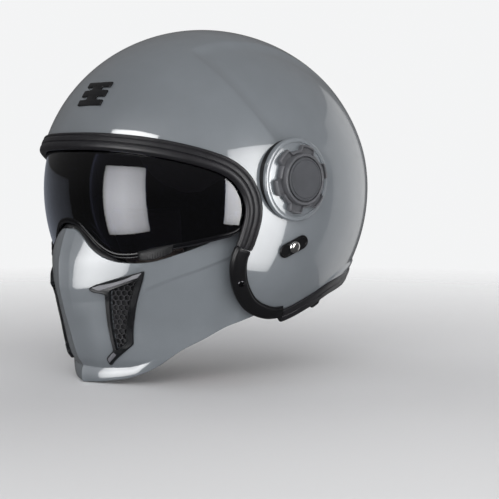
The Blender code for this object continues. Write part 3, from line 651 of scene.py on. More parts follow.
def lacquer():
    """Glossy mid-grey lacquer: clear coat, faint orange peel, slightly uneven pigment."""
    look = Finish("grey_lacquer", (0.200, 0.219, 0.238), 0.32)
    look.set(Coat_Weight=1.0, Coat_Roughness=0.020, Coat_IOR=1.55, Specular_IOR_Level=0.25)
    look.tint(look.noise(0.045, 4.0), 0.93, 1.07)
    look.gloss(look.noise(0.012, 5.0), 0.28, 0.38)
    look.bump(look.noise(0.0026, 1.0), 0.00001, 0.35)
    return look.material


def moulded(name, colour, low, high, grain=0.0007, depth=0.00005):
    """Moulded plastic or rubber with a fine spark-eroded grain and rubbed, shinier patches."""
    look = Finish(name, colour, low)
    look.set(Specular_IOR_Level=0.30)
    look.tint(look.noise(0.018, 4.0), 0.85, 1.25)
    look.gloss(look.noise(0.006, 5.0), low, high)
    look.bump(look.cells(grain), depth, 0.6)
    look.bump(look.noise(grain * 4, 3.0), depth, 0.4)
    return look.material


def brushed_steel(name="bright_steel_look", colour=(0.74, 0.73, 0.71)):
    look = Finish(name, colour, 0.16, 1.0)
    look.tint(look.noise(0.004, 4.0), 0.9, 1.05)
    look.gloss(look.noise(0.0006, 4.0), 0.10, 0.26)
    look.bump(look.waves(0.0002, "Z", 4.0), 0.00001, 0.5)
    return look.material


def smoked_lens():
    """Dark see-through plastic: light crosses it tinted, and its skin mirrors the room."""
    look = Finish("smoked_lens_look", (1.0, 1.0, 1.0), 0.02, 1.0)
    look.gloss(look.noise(0.02, 4.0), 0.012, 0.030)
    look.bump(look.noise(0.030, 1.0), 0.00004, 0.25)
    clear = look.add("ShaderNodeBsdfTransparent", {"Color": (0.300, 0.312, 0.400, 1.0)})
    skin = look.add("ShaderNodeFresnel", {"IOR": 1.52})
    look.mixed(skin.outputs["Fac"], clear.outputs[0], look.shader.outputs[0], look.output)
    return look.material


def bead_foam():
    """Expanded foam: packed beads a few millimetres across."""
    look = Finish("bead_foam", (0.030, 0.030, 0.032), 0.88)
    beads = look.cells(0.0034)
    look.tint(beads, 1.25, 0.7)
    look.bump(look.ramp(beads, (0.0, 1.0), (0.9, 0.0)), 0.0004, 0.8)
    look.bump(look.noise(0.0008, 4.0), 0.0001, 0.5)
    return look.material


def mesh_cloth():
    """Spacer mesh: rows of small open cells in knitted cloth, with a soft sheen."""
    look = Finish("spacer_mesh", (0.125, 0.098, 0.084), 0.92)
    look.set(Sheen_Weight=0.35, Sheen_Roughness=0.45)
    holes = look.cells(0.0021, randomness=0.15)
    knit = look.crossed(0.00045, "DIAGONAL", "X", 1.5)
    look.tint(look.ramp(holes, (0.12, 0.0), (0.36, 1.0)), 0.30, 1.15)
    look.bump(look.ramp(holes, (0.10, 0.0), (0.40, 1.0)), 0.0005, 0.9)
    look.bump(knit, 0.00012, 0.5)
    look.bump(look.noise(0.012, 3.0), 0.0005, 0.35)
    return look.material


def sewing_thread():
    look = Finish("strap_thread", (0.055, 0.055, 0.058), 0.94)
    look.set(Sheen_Weight=0.30, Sheen_Roughness=0.4)
    weave = look.crossed(0.0006, "X", "Z", 0.6)
    look.tint(look.maths("ADD", weave, look.maths("MULTIPLY", look.noise(0.006), 0.4)), 0.7, 1.3)
    look.bump(weave, 0.00018, 0.8)
    look.bump(look.noise(0.008, 4.0), 0.0004, 0.4)
    return look.material


def webbing_weave():
    """Strap webbing: a herringbone of thick yarns."""
    look = Finish("webbing_weave", (0.020, 0.020, 0.022), 0.82)
    look.set(Sheen_Weight=0.25, Sheen_Roughness=0.35)
    yarns = look.crossed(0.0011, "X", "DIAGONAL", 1.2, "MAXIMUM")
    look.tint(yarns, 0.6, 1.7)
    look.bump(yarns, 0.00025, 0.9)
    return look.material


def pale_floor():
    """A pale floor that fades into the backdrop. Mirrors, and a camera below it, look through it."""
    look = Finish("pale_floor", (0.84, 0.84, 0.85), 0.7)
    look.tint(look.noise(0.7, 3.0), 0.99, 1.01)
    look.bump(look.noise(0.05, 4.0), 0.0002, 0.2)
    far = look.add("ShaderNodeVectorMath", operation="LENGTH")
    look.link(look.place, far.inputs[0])
    fade = look.ramp(look.maths("MULTIPLY", far.outputs["Value"], 0.5), (0.10, 0.0), (0.55, 1.0))
    mirrored_ray = look.add("ShaderNodeLightPath").outputs["Is Glossy Ray"]
    under = look.add("ShaderNodeNewGeometry").outputs["Backfacing"]
    hidden = look.maths("MAXIMUM", look.maths("MAXIMUM", fade, mirrored_ray), under)
    clear = look.add("ShaderNodeBsdfTransparent")
    look.mixed(hidden, look.shader.outputs[0], clear.outputs[0], look.output)
    return look.material


def make_finishes():
    """Each finish by its name, with the material slot that it fills."""
    looks = {
        "painted_shell": {"paint": lacquer()},
        "black_plastic": {
            "plastic": moulded("satin_plastic", (0.008, 0.008, 0.009), 0.26, 0.40),
            "knob": moulded("knob_plastic", (0.120, 0.122, 0.132), 0.30, 0.44, 0.0009),
            "cap": moulded("cap_plastic", (0.082, 0.085, 0.094), 0.36, 0.50, 0.0008),
            "frame": moulded("vent_frame_plastic", (0.010, 0.0105, 0.012), 0.24, 0.38, 0.0009),
            # A lighter grey for faces on the vent frame's bar and foot: a painted highlight.
            "painted_highlight": moulded("painted_highlight_plastic", (0.150, 0.150, 0.165), 0.30, 0.44, 0.0009),
            "grille": moulded("grille_plastic", (0.040, 0.040, 0.044), 0.30, 0.45, 0.0008),
        },
        "trim_rubber": {
            "trim": moulded("trim_rubber_look", (0.016, 0.0155, 0.018), 0.30, 0.44, 0.0006),
            "seal": moulded("seal_rubber", (0.007, 0.007, 0.008), 0.38, 0.55, 0.0006),
        },
        "smoked_lens": {
            "lens": smoked_lens(),
            "rim": moulded("lens_rim", (0.004, 0.004, 0.005), 0.10, 0.22, 0.0015, 0.00002),
            "bead": moulded("lens_bead", (0.012, 0.012, 0.014), 0.06, 0.16, 0.0015, 0.00001),
        },
        "bright_steel": {
            "steel": brushed_steel(),
            "bolt": brushed_steel("dark_bolt", (0.07, 0.07, 0.075)),
        },
        "liner_foam": {"foam": bead_foam()},
        "liner_cloth": {"mesh": mesh_cloth()},
        "strap_webbing": {"webbing": webbing_weave(), "thread": sewing_thread()},
        "buckle_red": {
            "red": moulded("lever_red", (0.62, 0.018, 0.012), 0.22, 0.36, 0.0010, 0.00003),
        },
    }
    return {name: (look, slot) for slot, group in looks.items() for name, look in group.items()}


FINISHES = make_finishes()


# ---------------------------------------------------------------- shell and trims


def build_shell():
    loop = edge_loop(4 * SHELL_COLUMNS)
    outer = dome(loop, 150, crease_depth, crowding=1.0)
    inner = dome(loop, 150, SHELL_WALL, crowding=1.0)
    from_edge = np.linalg.norm(outer - outer[-1:], axis=-1)
    flare = 0.0012 * step((0.0145 - from_edge) / 0.0030) * step((outer[..., 1] - 0.028) / 0.030)
    outer = outer + shell_normal(outer) * flare[..., None]
    piece("shell", sheet(outer, inner, wrap=True, pole=True), "paint", "helmet", "outer_shell", 50)


BROW_PROFILE = (  # millimetres past the shell's edge, millimetres outside its surface
    (-8.8, 0.25), (-9.2, 0.5), (-9.3, 0.9), (-9.2, 1.3), (-8.8, 1.65), (-8.2, 1.8), (-7.6, 1.7),
    (-7.4, 1.35), (-7.1, 1.3), (-6.8, 1.7), (-6.2, 2.15), (-5.2, 2.35), (-4.0, 2.45), (-3.1, 2.35),
    (-2.8, 1.95), (-2.5, 1.75), (-2.2, 1.95), (-1.9, 2.5), (-1.2, 2.75), (0.0, 2.8), (1.1, 2.65),
    (2.0, 2.25), (2.5, 1.7), (2.7, 1.1), (3.1, 0.8), (3.45, 0.3), (3.6, -0.4), (3.55, -1.2),
    (3.3, -2.0), (2.9, -2.7), (2.3, -3.1), (1.6, -3.2), (0.6, -3.2), (0.6, 0.25),
)
SIDE_PROFILE = (
    (-8.8, 0.25), (-9.2, 0.6), (-9.1, 1.1), (-8.6, 1.5), (-8.0, 1.6), (-7.8, 2.1), (-7.2, 2.5),
    (-5.0, 2.75), (-2.0, 2.9), (0.6, 2.9), (1.6, 2.6), (2.0, 2.0), (2.5, 1.8), (3.1, 1.3),
    (3.5, 0.4), (3.6, -0.6), (3.4, -1.7), (2.9, -2.6), (2.2, -3.1), (0.6, -3.2), (0.6, 0.25),
)
BASE_PROFILE = (
    (-4.4, 0.25), (-4.8, 0.7), (-4.7, 1.4), (-4.0, 1.9), (-2.0, 2.3), (0.6, 2.6), (1.0, 2.3),
    (1.5, 2.3), (1.9, 2.75), (3.6, 3.0), (5.6, 3.1), (7.4, 2.9), (8.4, 2.3), (8.9, 1.3),
    (9.0, 0.2), (8.8, -1.2), (8.2, -2.3), (6.6, -3.1), (4.0, -3.6), (1.2, -3.6), (0.6, -3.3),
    (0.6, 0.25),
)


def build_trims():
    edge, seam = Edge(), 0.0008
    joint, base = edge.nearest(TRIM_JOINT), edge.nearest(BASE_JOINT)
    brow = edge.sweep(BROW_PROFILE, -joint, joint)
    piece("brow_trim", brow, "trim", "helmet", "opening_trim", 40)
    pair("side_trim", edge.sweep(SIDE_PROFILE, joint + seam, base), "plastic", "helmet", 40)
    rear = edge.sweep(BASE_PROFILE, base + seam, 1 - base - seam)
    piece("nape_trim", rear, "trim", "helmet", "base_trim", 40)
    build_screws(edge)
    build_rear_tabs(edge)


def build_screws(edge):
    """A screw head with a round recess in its top, on each side trim."""
    place, _, past, out = edge.at((0.096, -0.047, -0.068))
    profile = ((0, 2.7), (0.5, 2.7), (0.9, 2.4), (1.1, 1.9), (1.1, 1.2), (0.5, 1.0))
    head = disc_stack(place - past * 0.0036 + out * 0.0029, out, profile, 24)
    pair("trim_screw", head, "bolt", "helmet")


def build_rear_tabs(edge):
    """A small press-stud tab under the rear trim, on each side."""
    place, along, past, out = edge.at((0.092, 0.038, -0.081))
    outline = rounded([(-5.5, -2.8), (5.5, -2.8), (4.2, 2.8), (-4.2, 2.8)], 1.6)
    profile = ((-2.0, 0.86), (-1.6, 1.0), (1.2, 1.0), (2.0, 0.86), (2.0, 0.55), (1.4, 0.50))
    tab = stacked(place + past * 0.0124 - out * 0.0008, (along, past, out), outline, profile)
    pair("rear_tab", tab, "plastic", "helmet", 40)


def rivet_frame():
    """Place and directions of the left strap rivet, whose plate rises towards the back."""
    place = on_shell(np.array([0.115, -0.008, -0.042]))
    out = shell_normal(place)
    back = np.array([0.0, 1.0, 0.0])
    level = unit(back - out * (back @ out))
    rise = np.cross(level, out)
    rise = -rise if rise[2] < 0 else rise
    tilt = math.radians(25)
    along = level * math.cos(tilt) + rise * math.sin(tilt)
    return place, along, np.cross(out, along), out


RIVET_PLATE = (  # length, width and height of each ring, in millimetres
    (25.8, 10.8, 0.3), (26.2, 11.2, 0.7), (26.0, 11.0, 1.3), (25.2, 10.2, 1.7), (23.2, 8.2, 1.7),
    (22.6, 7.6, 1.2), (11.0, 6.2, 1.0),
)


def build_rivets():
    place, along, across, out = rivet_frame()
    turn = around(64)[:, None] + math.pi / 64
    rings = []
    for length, width, height in RIVET_PLATE:
        a = 0.5 * (length - width) * np.sign(np.cos(turn)) + 0.5 * width * np.cos(turn)
        offset_mm = along * a + across * 0.5 * width * np.sin(turn) + out * height
        rings.append(place + offset_mm / 1000)
    pair("rivet_plate", loft(rings), "plastic", "helmet", 40)
    profile = ((0.6, 4.4), (1.9, 4.6), (2.6, 4.4), (3.4, 3.7), (3.8, 2.6), (3.9, 1.2))
    pair("strap_rivet", disc_stack(place, out, profile, 36), "steel", "helmet", 60)


BADGE_OUTLINE = (  # millimetres
    (-13, -11), (13, -11), (13, -6), (5, -6), (5, -3), (13, -3), (13, 3), (5, 3), (5, 6), (13, 6),
    (13, 11), (-13, 11), (-13, 6), (-5, 6), (-5, 3), (-13, 3), (-13, -3), (-5, -3), (-5, -6),
    (-13, -6),
)


def build_badge():
    """Three short bars joined by a spine, with bevelled edges, on the forehead."""
    middle = on_shell(np.array([0.0095, -0.1130, 0.0717]))
    out = shell_normal(middle)
    across = unit(np.cross((0.0, 0.0, 1.0), out))
    up = np.cross(out, across)
    ring = rounded(BADGE_OUTLINE, 0.9, 3)
    rings = []
    for height, shrink in ((0.0003, 0.0), (0.0011, 0.0), (0.0015, 0.25), (0.0016, 0.6)):
        flat = offset(ring, shrink) / 1000
        rings.append(under_shell(middle + across * flat[:, :1] + up * flat[:, 1:], -height))
    piece("badge", loft(rings), "plastic", "helmet", "shell_badge", 30)


# ---------------------------------------------------------------- visor


def walled(grid, inset, wall, edge_round):
    """A wall between the grids at two insets, with its first and last rows rounded off."""
    outer, inner = grid(inset), grid(inset + wall)
    eased_outer, eased_inner = grid(inset + edge_round), grid(inset + wall - edge_round)
    for row in (0, -1):
        outer[row], inner[row] = eased_outer[row], eased_inner[row]
    return sheet(outer, inner)


def lens_grid(inset, rounds, shares):
    """Rows from the lower edge to the upper one of the visor's surface at an inset."""
    low = smooth_value(VISOR_LOWER_EDGE, np.abs(rounds))
    high = smooth_value(VISOR_UPPER_EDGE, np.abs(rounds))
    return np.array([on_visor(rounds, low + (high - low) * share, inset) for share in shares])


def arm_slot():
    """The slot in both arms, on which the lens draws back along its shafts."""
    turn = around(48)
    draw = np.where(np.cos(turn) < 0, -VISOR_DRAW, 0.0)
    y = PIVOT[1] + draw + VISOR_SLOT_RADIUS * np.cos(turn)
    z = PIVOT[2] + VISOR_SLOT_RADIUS * np.sin(turn)
    return loft([np.stack([np.full(48, x), y, z], axis=1) for x in (-0.2, 0.2)])


def build_visor():
    rounds = np.linspace(-VISOR_ARM_END, VISOR_ARM_END, 260)
    shares = np.concatenate([[0.0, 0.003, 0.010], np.linspace(0.03, 0.97, 40), [0.99, 0.997, 1.0]])
    skin = walled(lambda inset: lens_grid(inset, rounds, shares), VISOR_INSET, VISOR_WALL, 0.0005)
    lens = piece("lens", skin, "lens", "visor", "visor_lens", 45)
    cut_out(lens, arm_slot())
    build_lens_rim()
    for side, word in SIDES:
        build_lens_tab(side, word)


LENS_RIM = (  # millimetres above the lens's lower edge, millimetres out of its face
    (0.2, -0.5), (0.3, 0.35), (0.8, 0.62), (2.6, 0.66), (3.2, 0.42), (3.4, 0.02), (3.3, -0.5),
)
LENS_BEAD = (
    (-0.15, -1.3), (-0.55, -0.9), (-0.75, -0.2), (-0.65, 0.35), (-0.25, 0.72), (0.2, 0.80),
    (0.55, 0.62), (0.65, 0.30), (0.2, -0.3), (0.1, -1.2),
)
RIM_END = 76.0
DEGREES_PER_MM = 0.47


def build_lens_rim():
    """A moulded rim along the lens's lower edge, with a thin bright bead under it."""
    rounds = np.linspace(-RIM_END, RIM_END, 220)
    low = smooth_value(VISOR_LOWER_EDGE, np.abs(rounds))
    swell = 0.25 + 0.75 * step((RIM_END - np.abs(rounds)) / 8.0)
    for name, profile, crease in (("rim", LENS_RIM, 40), ("bead", LENS_BEAD, 60)):
        rows = [
            on_visor(rounds, low + up * DEGREES_PER_MM, VISOR_INSET - out * swell / 1000)
            for up, out in profile
        ]
        piece(f"lens_{name}", band(rows), name, "visor", crease=crease)


def build_lens_tab(side, word):
    """A finger tab under the lens's lower edge, ribbed on its face."""
    rounds = np.linspace(30.6, 44.4, 72)
    middle = 0.5 * (rounds[0] + rounds[-1])
    swell = np.clip(1 - ((rounds - middle) / (rounds[-1] - middle)) ** 2, 0, 1) ** 0.45
    root = smooth_value(VISOR_LOWER_EDGE, rounds)
    ribs = 0.00022 * np.sin(np.clip((rounds - 33.0) / 9.0, 0, 1) * math.pi * 9) ** 2
    drop = 0.3 + 1.25 * swell
    out = 0.0006 + 0.0030 * swell
    profile = (  # degrees above the lens's edge, height out of its face
        (1.7, 0.0002), (1.6, 0.0009), (1.2, 0.0012 + 0.25 * out), (0.4, 0.0004 + 0.62 * out),
        (-drop * 0.55, 0.0002 + 0.92 * out + ribs), (-drop * 0.92, out + ribs),
        (-drop * 1.05, out - 0.0004), (-drop * 1.05, out * 0.55), (-drop * 0.8, out * 0.40),
        (0.2, -0.0003), (0.3, -0.0014), (1.5, -0.0014),
    )
    rows = [on_visor(side * rounds, root + up, VISOR_INSET - height) for up, height in profile]
    piece(f"lens_tab_{word}", band(rows), "seal", "visor", crease=40)


# ---------------------------------------------------------------- pivots

PLATE_PROFILE = (  # millimetres beyond the plate's face, radius in millimetres
    (-2.5, 7.0), (-2.5, 29.8), (-4.0, 30.0), (-4.1, 30.5), (-3.8, 30.8), (-1.8, 30.8), (-1.2, 30.5),
    (-0.8, 30.0), (-0.6, 29.4), (-0.6, 27.4), (-1.5, 27.1), (-1.4, 26.8), (0.1, 21.9), (0.2, 20.0),
    (0.2, 7.0),
)
KNOB_PROFILE = (  # millimetres beyond the knob's face
    (-7.9, 16.0), (-7.9, 20.1), (-7.1, 20.1), (-6.9, 21.1), (-6.5, 21.3), (-4.1, 21.3), (-3.5, 21.0),
    (-3.1, 20.4), (-3.1, 19.9), (-3.3, 19.6), (-5.3, 19.5), (-5.3, 18.9), (-0.8, 18.7), (-0.2, 18.5),
    (0, 18.0), (0, 17.4), (-0.2, 16.9), (-0.8, 16.8), (-2.1, 16.7), (-2.1, 16.0),
)
CAP_PROFILE = (
    (-1.9, 15.6), (-0.4, 15.8), (0, 15.6), (0.1, 15.2), (0.1, 14.6), (-0.3, 14.4), (-0.3, 13.7),
    (0.1, 13.5), (0.1, 0.1),
)


def knob_lobes(angle):
    """The knob's six grips stand out beyond its core, with soft flanks."""
    turn = (angle / (2 * math.pi) * KNOB_LOBES + 0.25) % 1
    return KNOB_LOBE * step((0.30 - np.abs(turn - 0.5)) / 0.10)


def gasket_foot():
    """Two rings of the gasket's foot, just clear of the shell."""
    angle = around(144)
    rings = []
    for radius in (0.0200, 0.0296):
        y, z = PIVOT[1] + radius * np.sin(angle), PIVOT[2] + radius * np.cos(angle)
        across = y / np.where(y < 0, SHELL_FRONT, SHELL_BACK)
        up = z / np.where(z > 0, SHELL_TOP, SHELL_LOWER)
        x = SHELL_HALF_WIDTH * np.sqrt(1 - across**2 - up**2) + 0.0005
        rings.append(np.stack([x, y, z], axis=1))
    return rings


def build_pivots():
    # The gasket under each plate is a seal part, and its near-black also paints the shade in the gap
    # between plate and shell.
    profile = ((-0.8, 29.6), (-0.2, 29.4), (0, 29.0), (0, 20.2))
    gasket = gasket_foot() + turned(GASKET_FACE, profile, 144)
    pair("pivot_gasket", loft(gasket, closed=True), "seal", "helmet", 40)
    plate = turned(PLATE_FACE, PLATE_PROFILE, 144)
    pair("pivot_plate", loft(plate, closed=True), "paint", "helmet", 40)
    knob = turned(KNOB_FACE, KNOB_PROFILE, 288, knob_lobes)
    pair("pivot_knob", loft(knob), "knob", "visor_pivot", 35)
    pair("pivot_cap", loft(turned(KNOB_FACE, CAP_PROFILE, 96)), "cap", "visor_pivot", 40)
    shaft = turned(PLATE_FACE, ((-15.6, 5.6), (-15.3, 6.0), (0, 6.0)), 48)
    pair("pivot_shaft", loft(shaft), "steel", "visor_pivot", 40)
    profile = ((-18.4, 7.8), (-18.2, 8.4), (-17.0, 9.2), (-16.7, 10.0), (-16.0, 10.0), (-15.8, 9.8))
    pair("visor_hub", loft(turned(PLATE_FACE, profile, 64)), "plastic", "visor_pivot", 40)


# ---------------------------------------------------------------- chin guard

CHEEK_CREASE = np.array(
    [(-3.62, -0.046), (-3.0, -0.0545), (-2.40, -0.0640), (-1.98, -0.0720), (-1.72, -0.0930)]
)
NOSE_FOLD = np.array([(-1.90, -0.0545), (-1.30, -0.0712), (-0.45, -0.0728), (0.0, -0.0732)])
NOSE_PLATE = 0.32
LIP_HEIGHT = 0.0125
LIP_TAPER = 0.0030
LIP_END = 2.3
LIP_SWELL = 0.0016
LIP_FADE = 0.7
LIP_WIDEST = 0.45
FOLD_SCALE = 0.035


def guard_relief(t, z):
    """How far the guard's face stands out of its plain curve, with its ridges and folds."""
    flat = np.stack([-np.abs(t) * FOLD_SCALE, z], axis=-1)
    off_nose = np.clip((np.abs(t) - NOSE_PLATE) / 0.63, 0, 1)
    nose = 0.0015 * (1 - off_nose) * step((z + 0.112) / 0.030)
    under = -distance_to_path(flat, NOSE_FOLD * (FOLD_SCALE, 1.0))
    ends = step((z + 0.128) / 0.030) * step((2.2 - np.abs(t)) / 0.5)
    fold = 0.0011 * np.clip(under / 0.011, 0, 1) * ends
    below = -distance_to_path(flat, CHEEK_CREASE * (FOLD_SCALE, 1.0))
    ends = step((np.abs(t) - 1.55) / 0.30) * step((4.1 - np.abs(t)) / 0.5)
    cheek = 0.0010 * step(below / 0.0028) * ends * step((z + 0.128) / 0.036)
    return nose - fold - cheek


def guard_skin(t, z, inset=0.0):
    """The guard's finished face at an inset, whose lower edge is an upright, rounded lip."""
    t, z = np.broadcast_arrays(np.asarray(t, float), np.asarray(z, float))
    edge = smooth_value(GUARD_BOTTOM, np.abs(t))
    height = LIP_HEIGHT - LIP_TAPER * np.minimum(np.abs(t), LIP_END)
    strength = step((LIP_END - np.abs(t)) / LIP_FADE)
    below = np.maximum(edge + height - z, 0.0) * strength
    round_off = 1 - ((z - edge - LIP_WIDEST * height) / ((1 - LIP_WIDEST) * height)) ** 2
    swell = LIP_SWELL * height / LIP_HEIGHT * np.maximum(round_off, 0.0) * strength
    point = on_guard(t, z + below, inset - guard_relief(t, z) - swell)
    point[..., 2] = z
    return point


def guard_grid(inset, shares, heights):
    """Rows from the guard's lower edge to the upper one, over shares of the way round each side."""
    top = guard_edge(GUARD_TOP, np.abs(shares))
    bottom = guard_edge(GUARD_BOTTOM, np.abs(shares))
    rows = [bottom + (top - bottom) * height for height in heights]
    return np.array([guard_skin(shares * smooth_value(GUARD_REAR, z), z, inset) for z in rows])


VENT_SCALE = np.array([0.040, 1.0])  # the flat of the vents, in metres for each step of t and height


def vent_outline(outline, grow=(0.0, 0.0), rounding=0.0022):
    """A vent outline as rounded, evenly spaced points on the flat of the vents."""
    path = rounded(np.asarray(outline, float) * VENT_SCALE, rounding, 4)
    gap = path - path.mean(axis=0)
    reach = np.linalg.norm(gap, axis=1, keepdims=True)
    grown = path + gap / reach * (grow[0] * VENT_SCALE[0] + grow[1]) * 0.5
    closed = np.concatenate([grown, grown[:1]])
    length = np.concatenate([[0], np.cumsum(np.linalg.norm(np.diff(closed, axis=0), axis=1))])
    stops = np.linspace(0, length[-1], 200, endpoint=False)
    return np.stack([np.interp(stops, length, closed[:, k]) for k in range(2)], axis=1)


def lay(side, path, height):
    """A path on the flat of the vents laid over the guard's face, this high above it."""
    flat = path / VENT_SCALE
    return guard_skin(side * flat[:, 0], flat[:, 1], -height)


WINDOW_MARGIN = (0.012, 0.0008)


def build_guard():
    shares = np.linspace(-1, 1, 421)
    heights = np.concatenate(
        [[0.0, 0.004, 0.012], np.linspace(0.02, 0.14, 20), np.linspace(0.15, 0.97, 72),
         [0.988, 0.996, 1.0]]
    )
    skin = walled(lambda inset: guard_grid(inset, shares, heights), 0.0, GUARD_WALL, 0.0007)
    guard = piece("guard", skin, "paint", "chin_guard", "chin_guard", 40)
    window = vent_outline(VENT_WINDOW, WINDOW_MARGIN)
    for side, _ in SIDES:
        cut_out(guard, loft([lay(side, window, height) for height in (0.008, -0.012)]))
    build_seal()
    for side, word in SIDES:
        frame_piece(side, word)
        painted_highlight_piece(side, word)
        grille_piece(side, word)
    build_hooks()


SEAL_PROFILE = (  # inset from the guard's face and rise over its edge, in millimetres
    (-0.3, 0.4), (-0.6, 1.0), (-0.4, 2.0), (0.2, 2.9), (1.0, 3.4), (1.6, 3.2), (1.9, 2.5), (2.2, 2.7),
    (2.8, 2.5), (3.1, 1.6), (3.1, 0.6),
)


def build_seal():
    """A rubber lip along the middle of the guard's upper edge."""
    t = np.linspace(-SEAL_REACH, SEAL_REACH, 160)
    top = smooth_value(GUARD_TOP, np.abs(t))
    swell = 0.25 + 0.75 * step((SEAL_REACH - np.abs(t)) / 0.35)
    rows = [on_guard(t, top + rise * swell / 1000, inset / 1000) for inset, rise in SEAL_PROFILE]
    piece("guard_seal", band(rows), "seal", "chin_guard", "chin_guard_seal", 50)


# Outlines of the painted highlights on the frame's top bar and foot: lighter grey faces where the
# bevels catch the light.
VENT_BAR_FACE = (
    (1.004, -0.0723), (1.905, -0.0602), (1.841, -0.0642), (1.419, -0.0712), (1.164, -0.0744),
)
VENT_FOOT_FACE = ((1.101, -0.1257), (1.277, -0.1204), (1.321, -0.1225), (1.108, -0.1290))


def offset(path, distance):
    """A closed 2-D path moved sideways: inwards for a path that runs anticlockwise."""
    along = unit(np.roll(path, -1, axis=0) - np.roll(path, 1, axis=0))
    return path + np.stack([-along[:, 1], along[:, 0]], axis=1) * distance


def anticlockwise(path):
    x, y = path[:, 0], path[:, 1]
    return path if np.sum(x * np.roll(y, -1) - y * np.roll(x, -1)) > 0 else path[::-1]


def filled(*paths):
    """Faces that fill a closed path, less any paths inside it."""
    flat = [[Vector((x, y, 0.0)) for x, y in path] for path in paths]
    return [list(face) for face in tessellate_polygon(flat)]


def frame_piece(side, word):
    """The T-shaped frame: a bevelled top bar, a long leg beside the window, and a foot."""
    outside = anticlockwise(vent_outline(VENT_FRAME, rounding=0.0014))
    inside = anticlockwise(vent_outline(VENT_WINDOW, rounding=0.0014))
    walls = ((0.0, -0.0004), (0.0, 0.0020), (0.0003, 0.0025), (0.0007, 0.0028))
    outer = [lay(side, offset(outside, move), height) for move, height in walls]
    inner = [lay(side, offset(inside, -0.7 * move), height) for move, height in walls]
    move = walls[-1][0]
    faces = filled(offset(outside, move), offset(inside, -0.7 * move))
    top = np.concatenate([outer[-1], inner[-1]]), faces
    shape = merged(loft(outer, caps=False), loft(inner, caps=False), top)
    piece(f"vent_frame_{word}_look", shape, "frame", "chin_guard", f"vent_frame_{word}", 30)


def painted_highlight_piece(side, word):
    """Lighter grey faces on the frame's top bar and foot: a painted highlight where their bevels catch
    the light.
    """
    shapes = []
    for outline in (VENT_BAR_FACE, VENT_FOOT_FACE):
        path = anticlockwise(rounded(np.asarray(outline) * VENT_SCALE, 0.0008, 3))
        profile = ((0.0, 0.0024), (0.0, 0.0030), (0.0002, 0.0032), (0.0004, 0.0033))
        shapes.append(loft([lay(side, offset(path, move), height) for move, height in profile]))
    piece(f"vent_inlay_{word}", merged(*shapes), "painted_highlight", "chin_guard", crease=30)


def grille_piece(side, word):
    """A honeycomb grille behind the window: six-sided cells with thin walls, over a near-black sheet
    that paints the shade deep in the cells.
    """
    cell, wall = 0.0042, 0.0007
    window = vent_outline(VENT_WINDOW, WINDOW_MARGIN)
    low, high = window.min(axis=0) - cell, window.max(axis=0) + cell
    row_pitch = cell * math.sqrt(3) / 2
    turn = np.radians(np.arange(6) * 60 + 30)
    hexagon = np.stack([np.cos(turn), np.sin(turn)], axis=1) / math.sqrt(3)
    profile = (
        (cell * 1.01, -0.0008), (cell * 1.01, -0.0031), (cell - wall, -0.0031), (cell - wall, -0.0010),
        (cell - wall * 0.7, -0.0008),
    )
    shapes = []
    for row in range(int((high[1] - low[1]) / row_pitch) + 1):
        for column in range(int((high[0] - low[0]) / cell) + 1):
            middle = low + ((column + 0.5 * (row % 2)) * cell, row * row_pitch)
            if within(middle, window, cell * 0.45):
                rings = [lay(side, middle + hexagon * size, height) for size, height in profile]
                shapes.append(loft(rings, closed=True))
    # A near-black sheet behind the cells: painted shade in the cells' depths.
    backing = anticlockwise(window)
    shade_sheet = lay(side, backing, -0.0032), filled(backing)
    piece(f"grille_back_{word}", shade_sheet, "seal", "chin_guard", crease=25)
    piece(f"grille_{word}", merged(*shapes), "grille", "chin_guard", f"vent_mesh_{word}", 25)


def within(point, path, reach):
    """Whether a point lies inside a closed path, or near enough to it."""
    a, b = path, np.roll(path, -1, axis=0)
    crosses = (a[:, 1] > point[1]) != (b[:, 1] > point[1])
    with np.errstate(divide="ignore", invalid="ignore"):
        at = a[:, 0] + (point[1] - a[:, 1]) / (b[:, 1] - a[:, 1]) * (b[:, 0] - a[:, 0])
    inside = bool(np.sum(crosses & (point[0] < at)) % 2)
    return inside or float(np.min(np.linalg.norm(path - point, axis=1))) < reach


def build_hooks():
    """A steel hook plate inside each wing of the guard."""
    place = on_guard(np.array(3.8), np.array(-0.058), GUARD_WALL + 0.0019)
    axes = np.array([0.0, 1.0, 0.0]), unit([0.24, 0.0, 0.97]), unit([0.97, 0.0, -0.24])
    outline = rounded([(-7, -5), (7, -5), (7, 1), (3.5, 5), (-7, 5)], 1.6)
    hook = stacked(place, axes, outline, ((-0.8, 0.93), (-0.5, 1.0), (0.5, 1.0), (0.8, 0.93)))
    pair("guard_hook", hook, "steel", "chin_guard", 40)


# ---------------------------------------------------------------- liner and pads

FOAM_REACH = 0.940


def build_foam():
    """The bead-foam liner, with the pocket for the visor and a softened lower edge."""
    loop = edge_loop(176)
    outer = dome(loop, 60, foam_depth, FOAM_REACH)
    inner = dome(loop, 60, FOAM_INNER, FOAM_REACH)
    outer[-1] = dome(loop, 60, lambda p: foam_depth(p) + 0.0016, FOAM_REACH)[-1]
    inner[-1] = dome(loop, 60, FOAM_INNER - 0.0012, FOAM_REACH)[-1]
    piece("foam", sheet(outer, inner, wrap=True, pole=True), "foam", "helmet", "foam_liner", 60)


CHIN_FOAM_PROFILE = (  # share of the foam's height, inset from the guard's inner face in millimetres
    (0.02, 1.6), (0.0, 4.0), (0.0, 6.6), (0.03, 8.6), (0.5, 8.9), (0.97, 8.6), (1.0, 6.6), (1.0, 4.0),
    (0.98, 1.6), (0.5, 1.2),
)


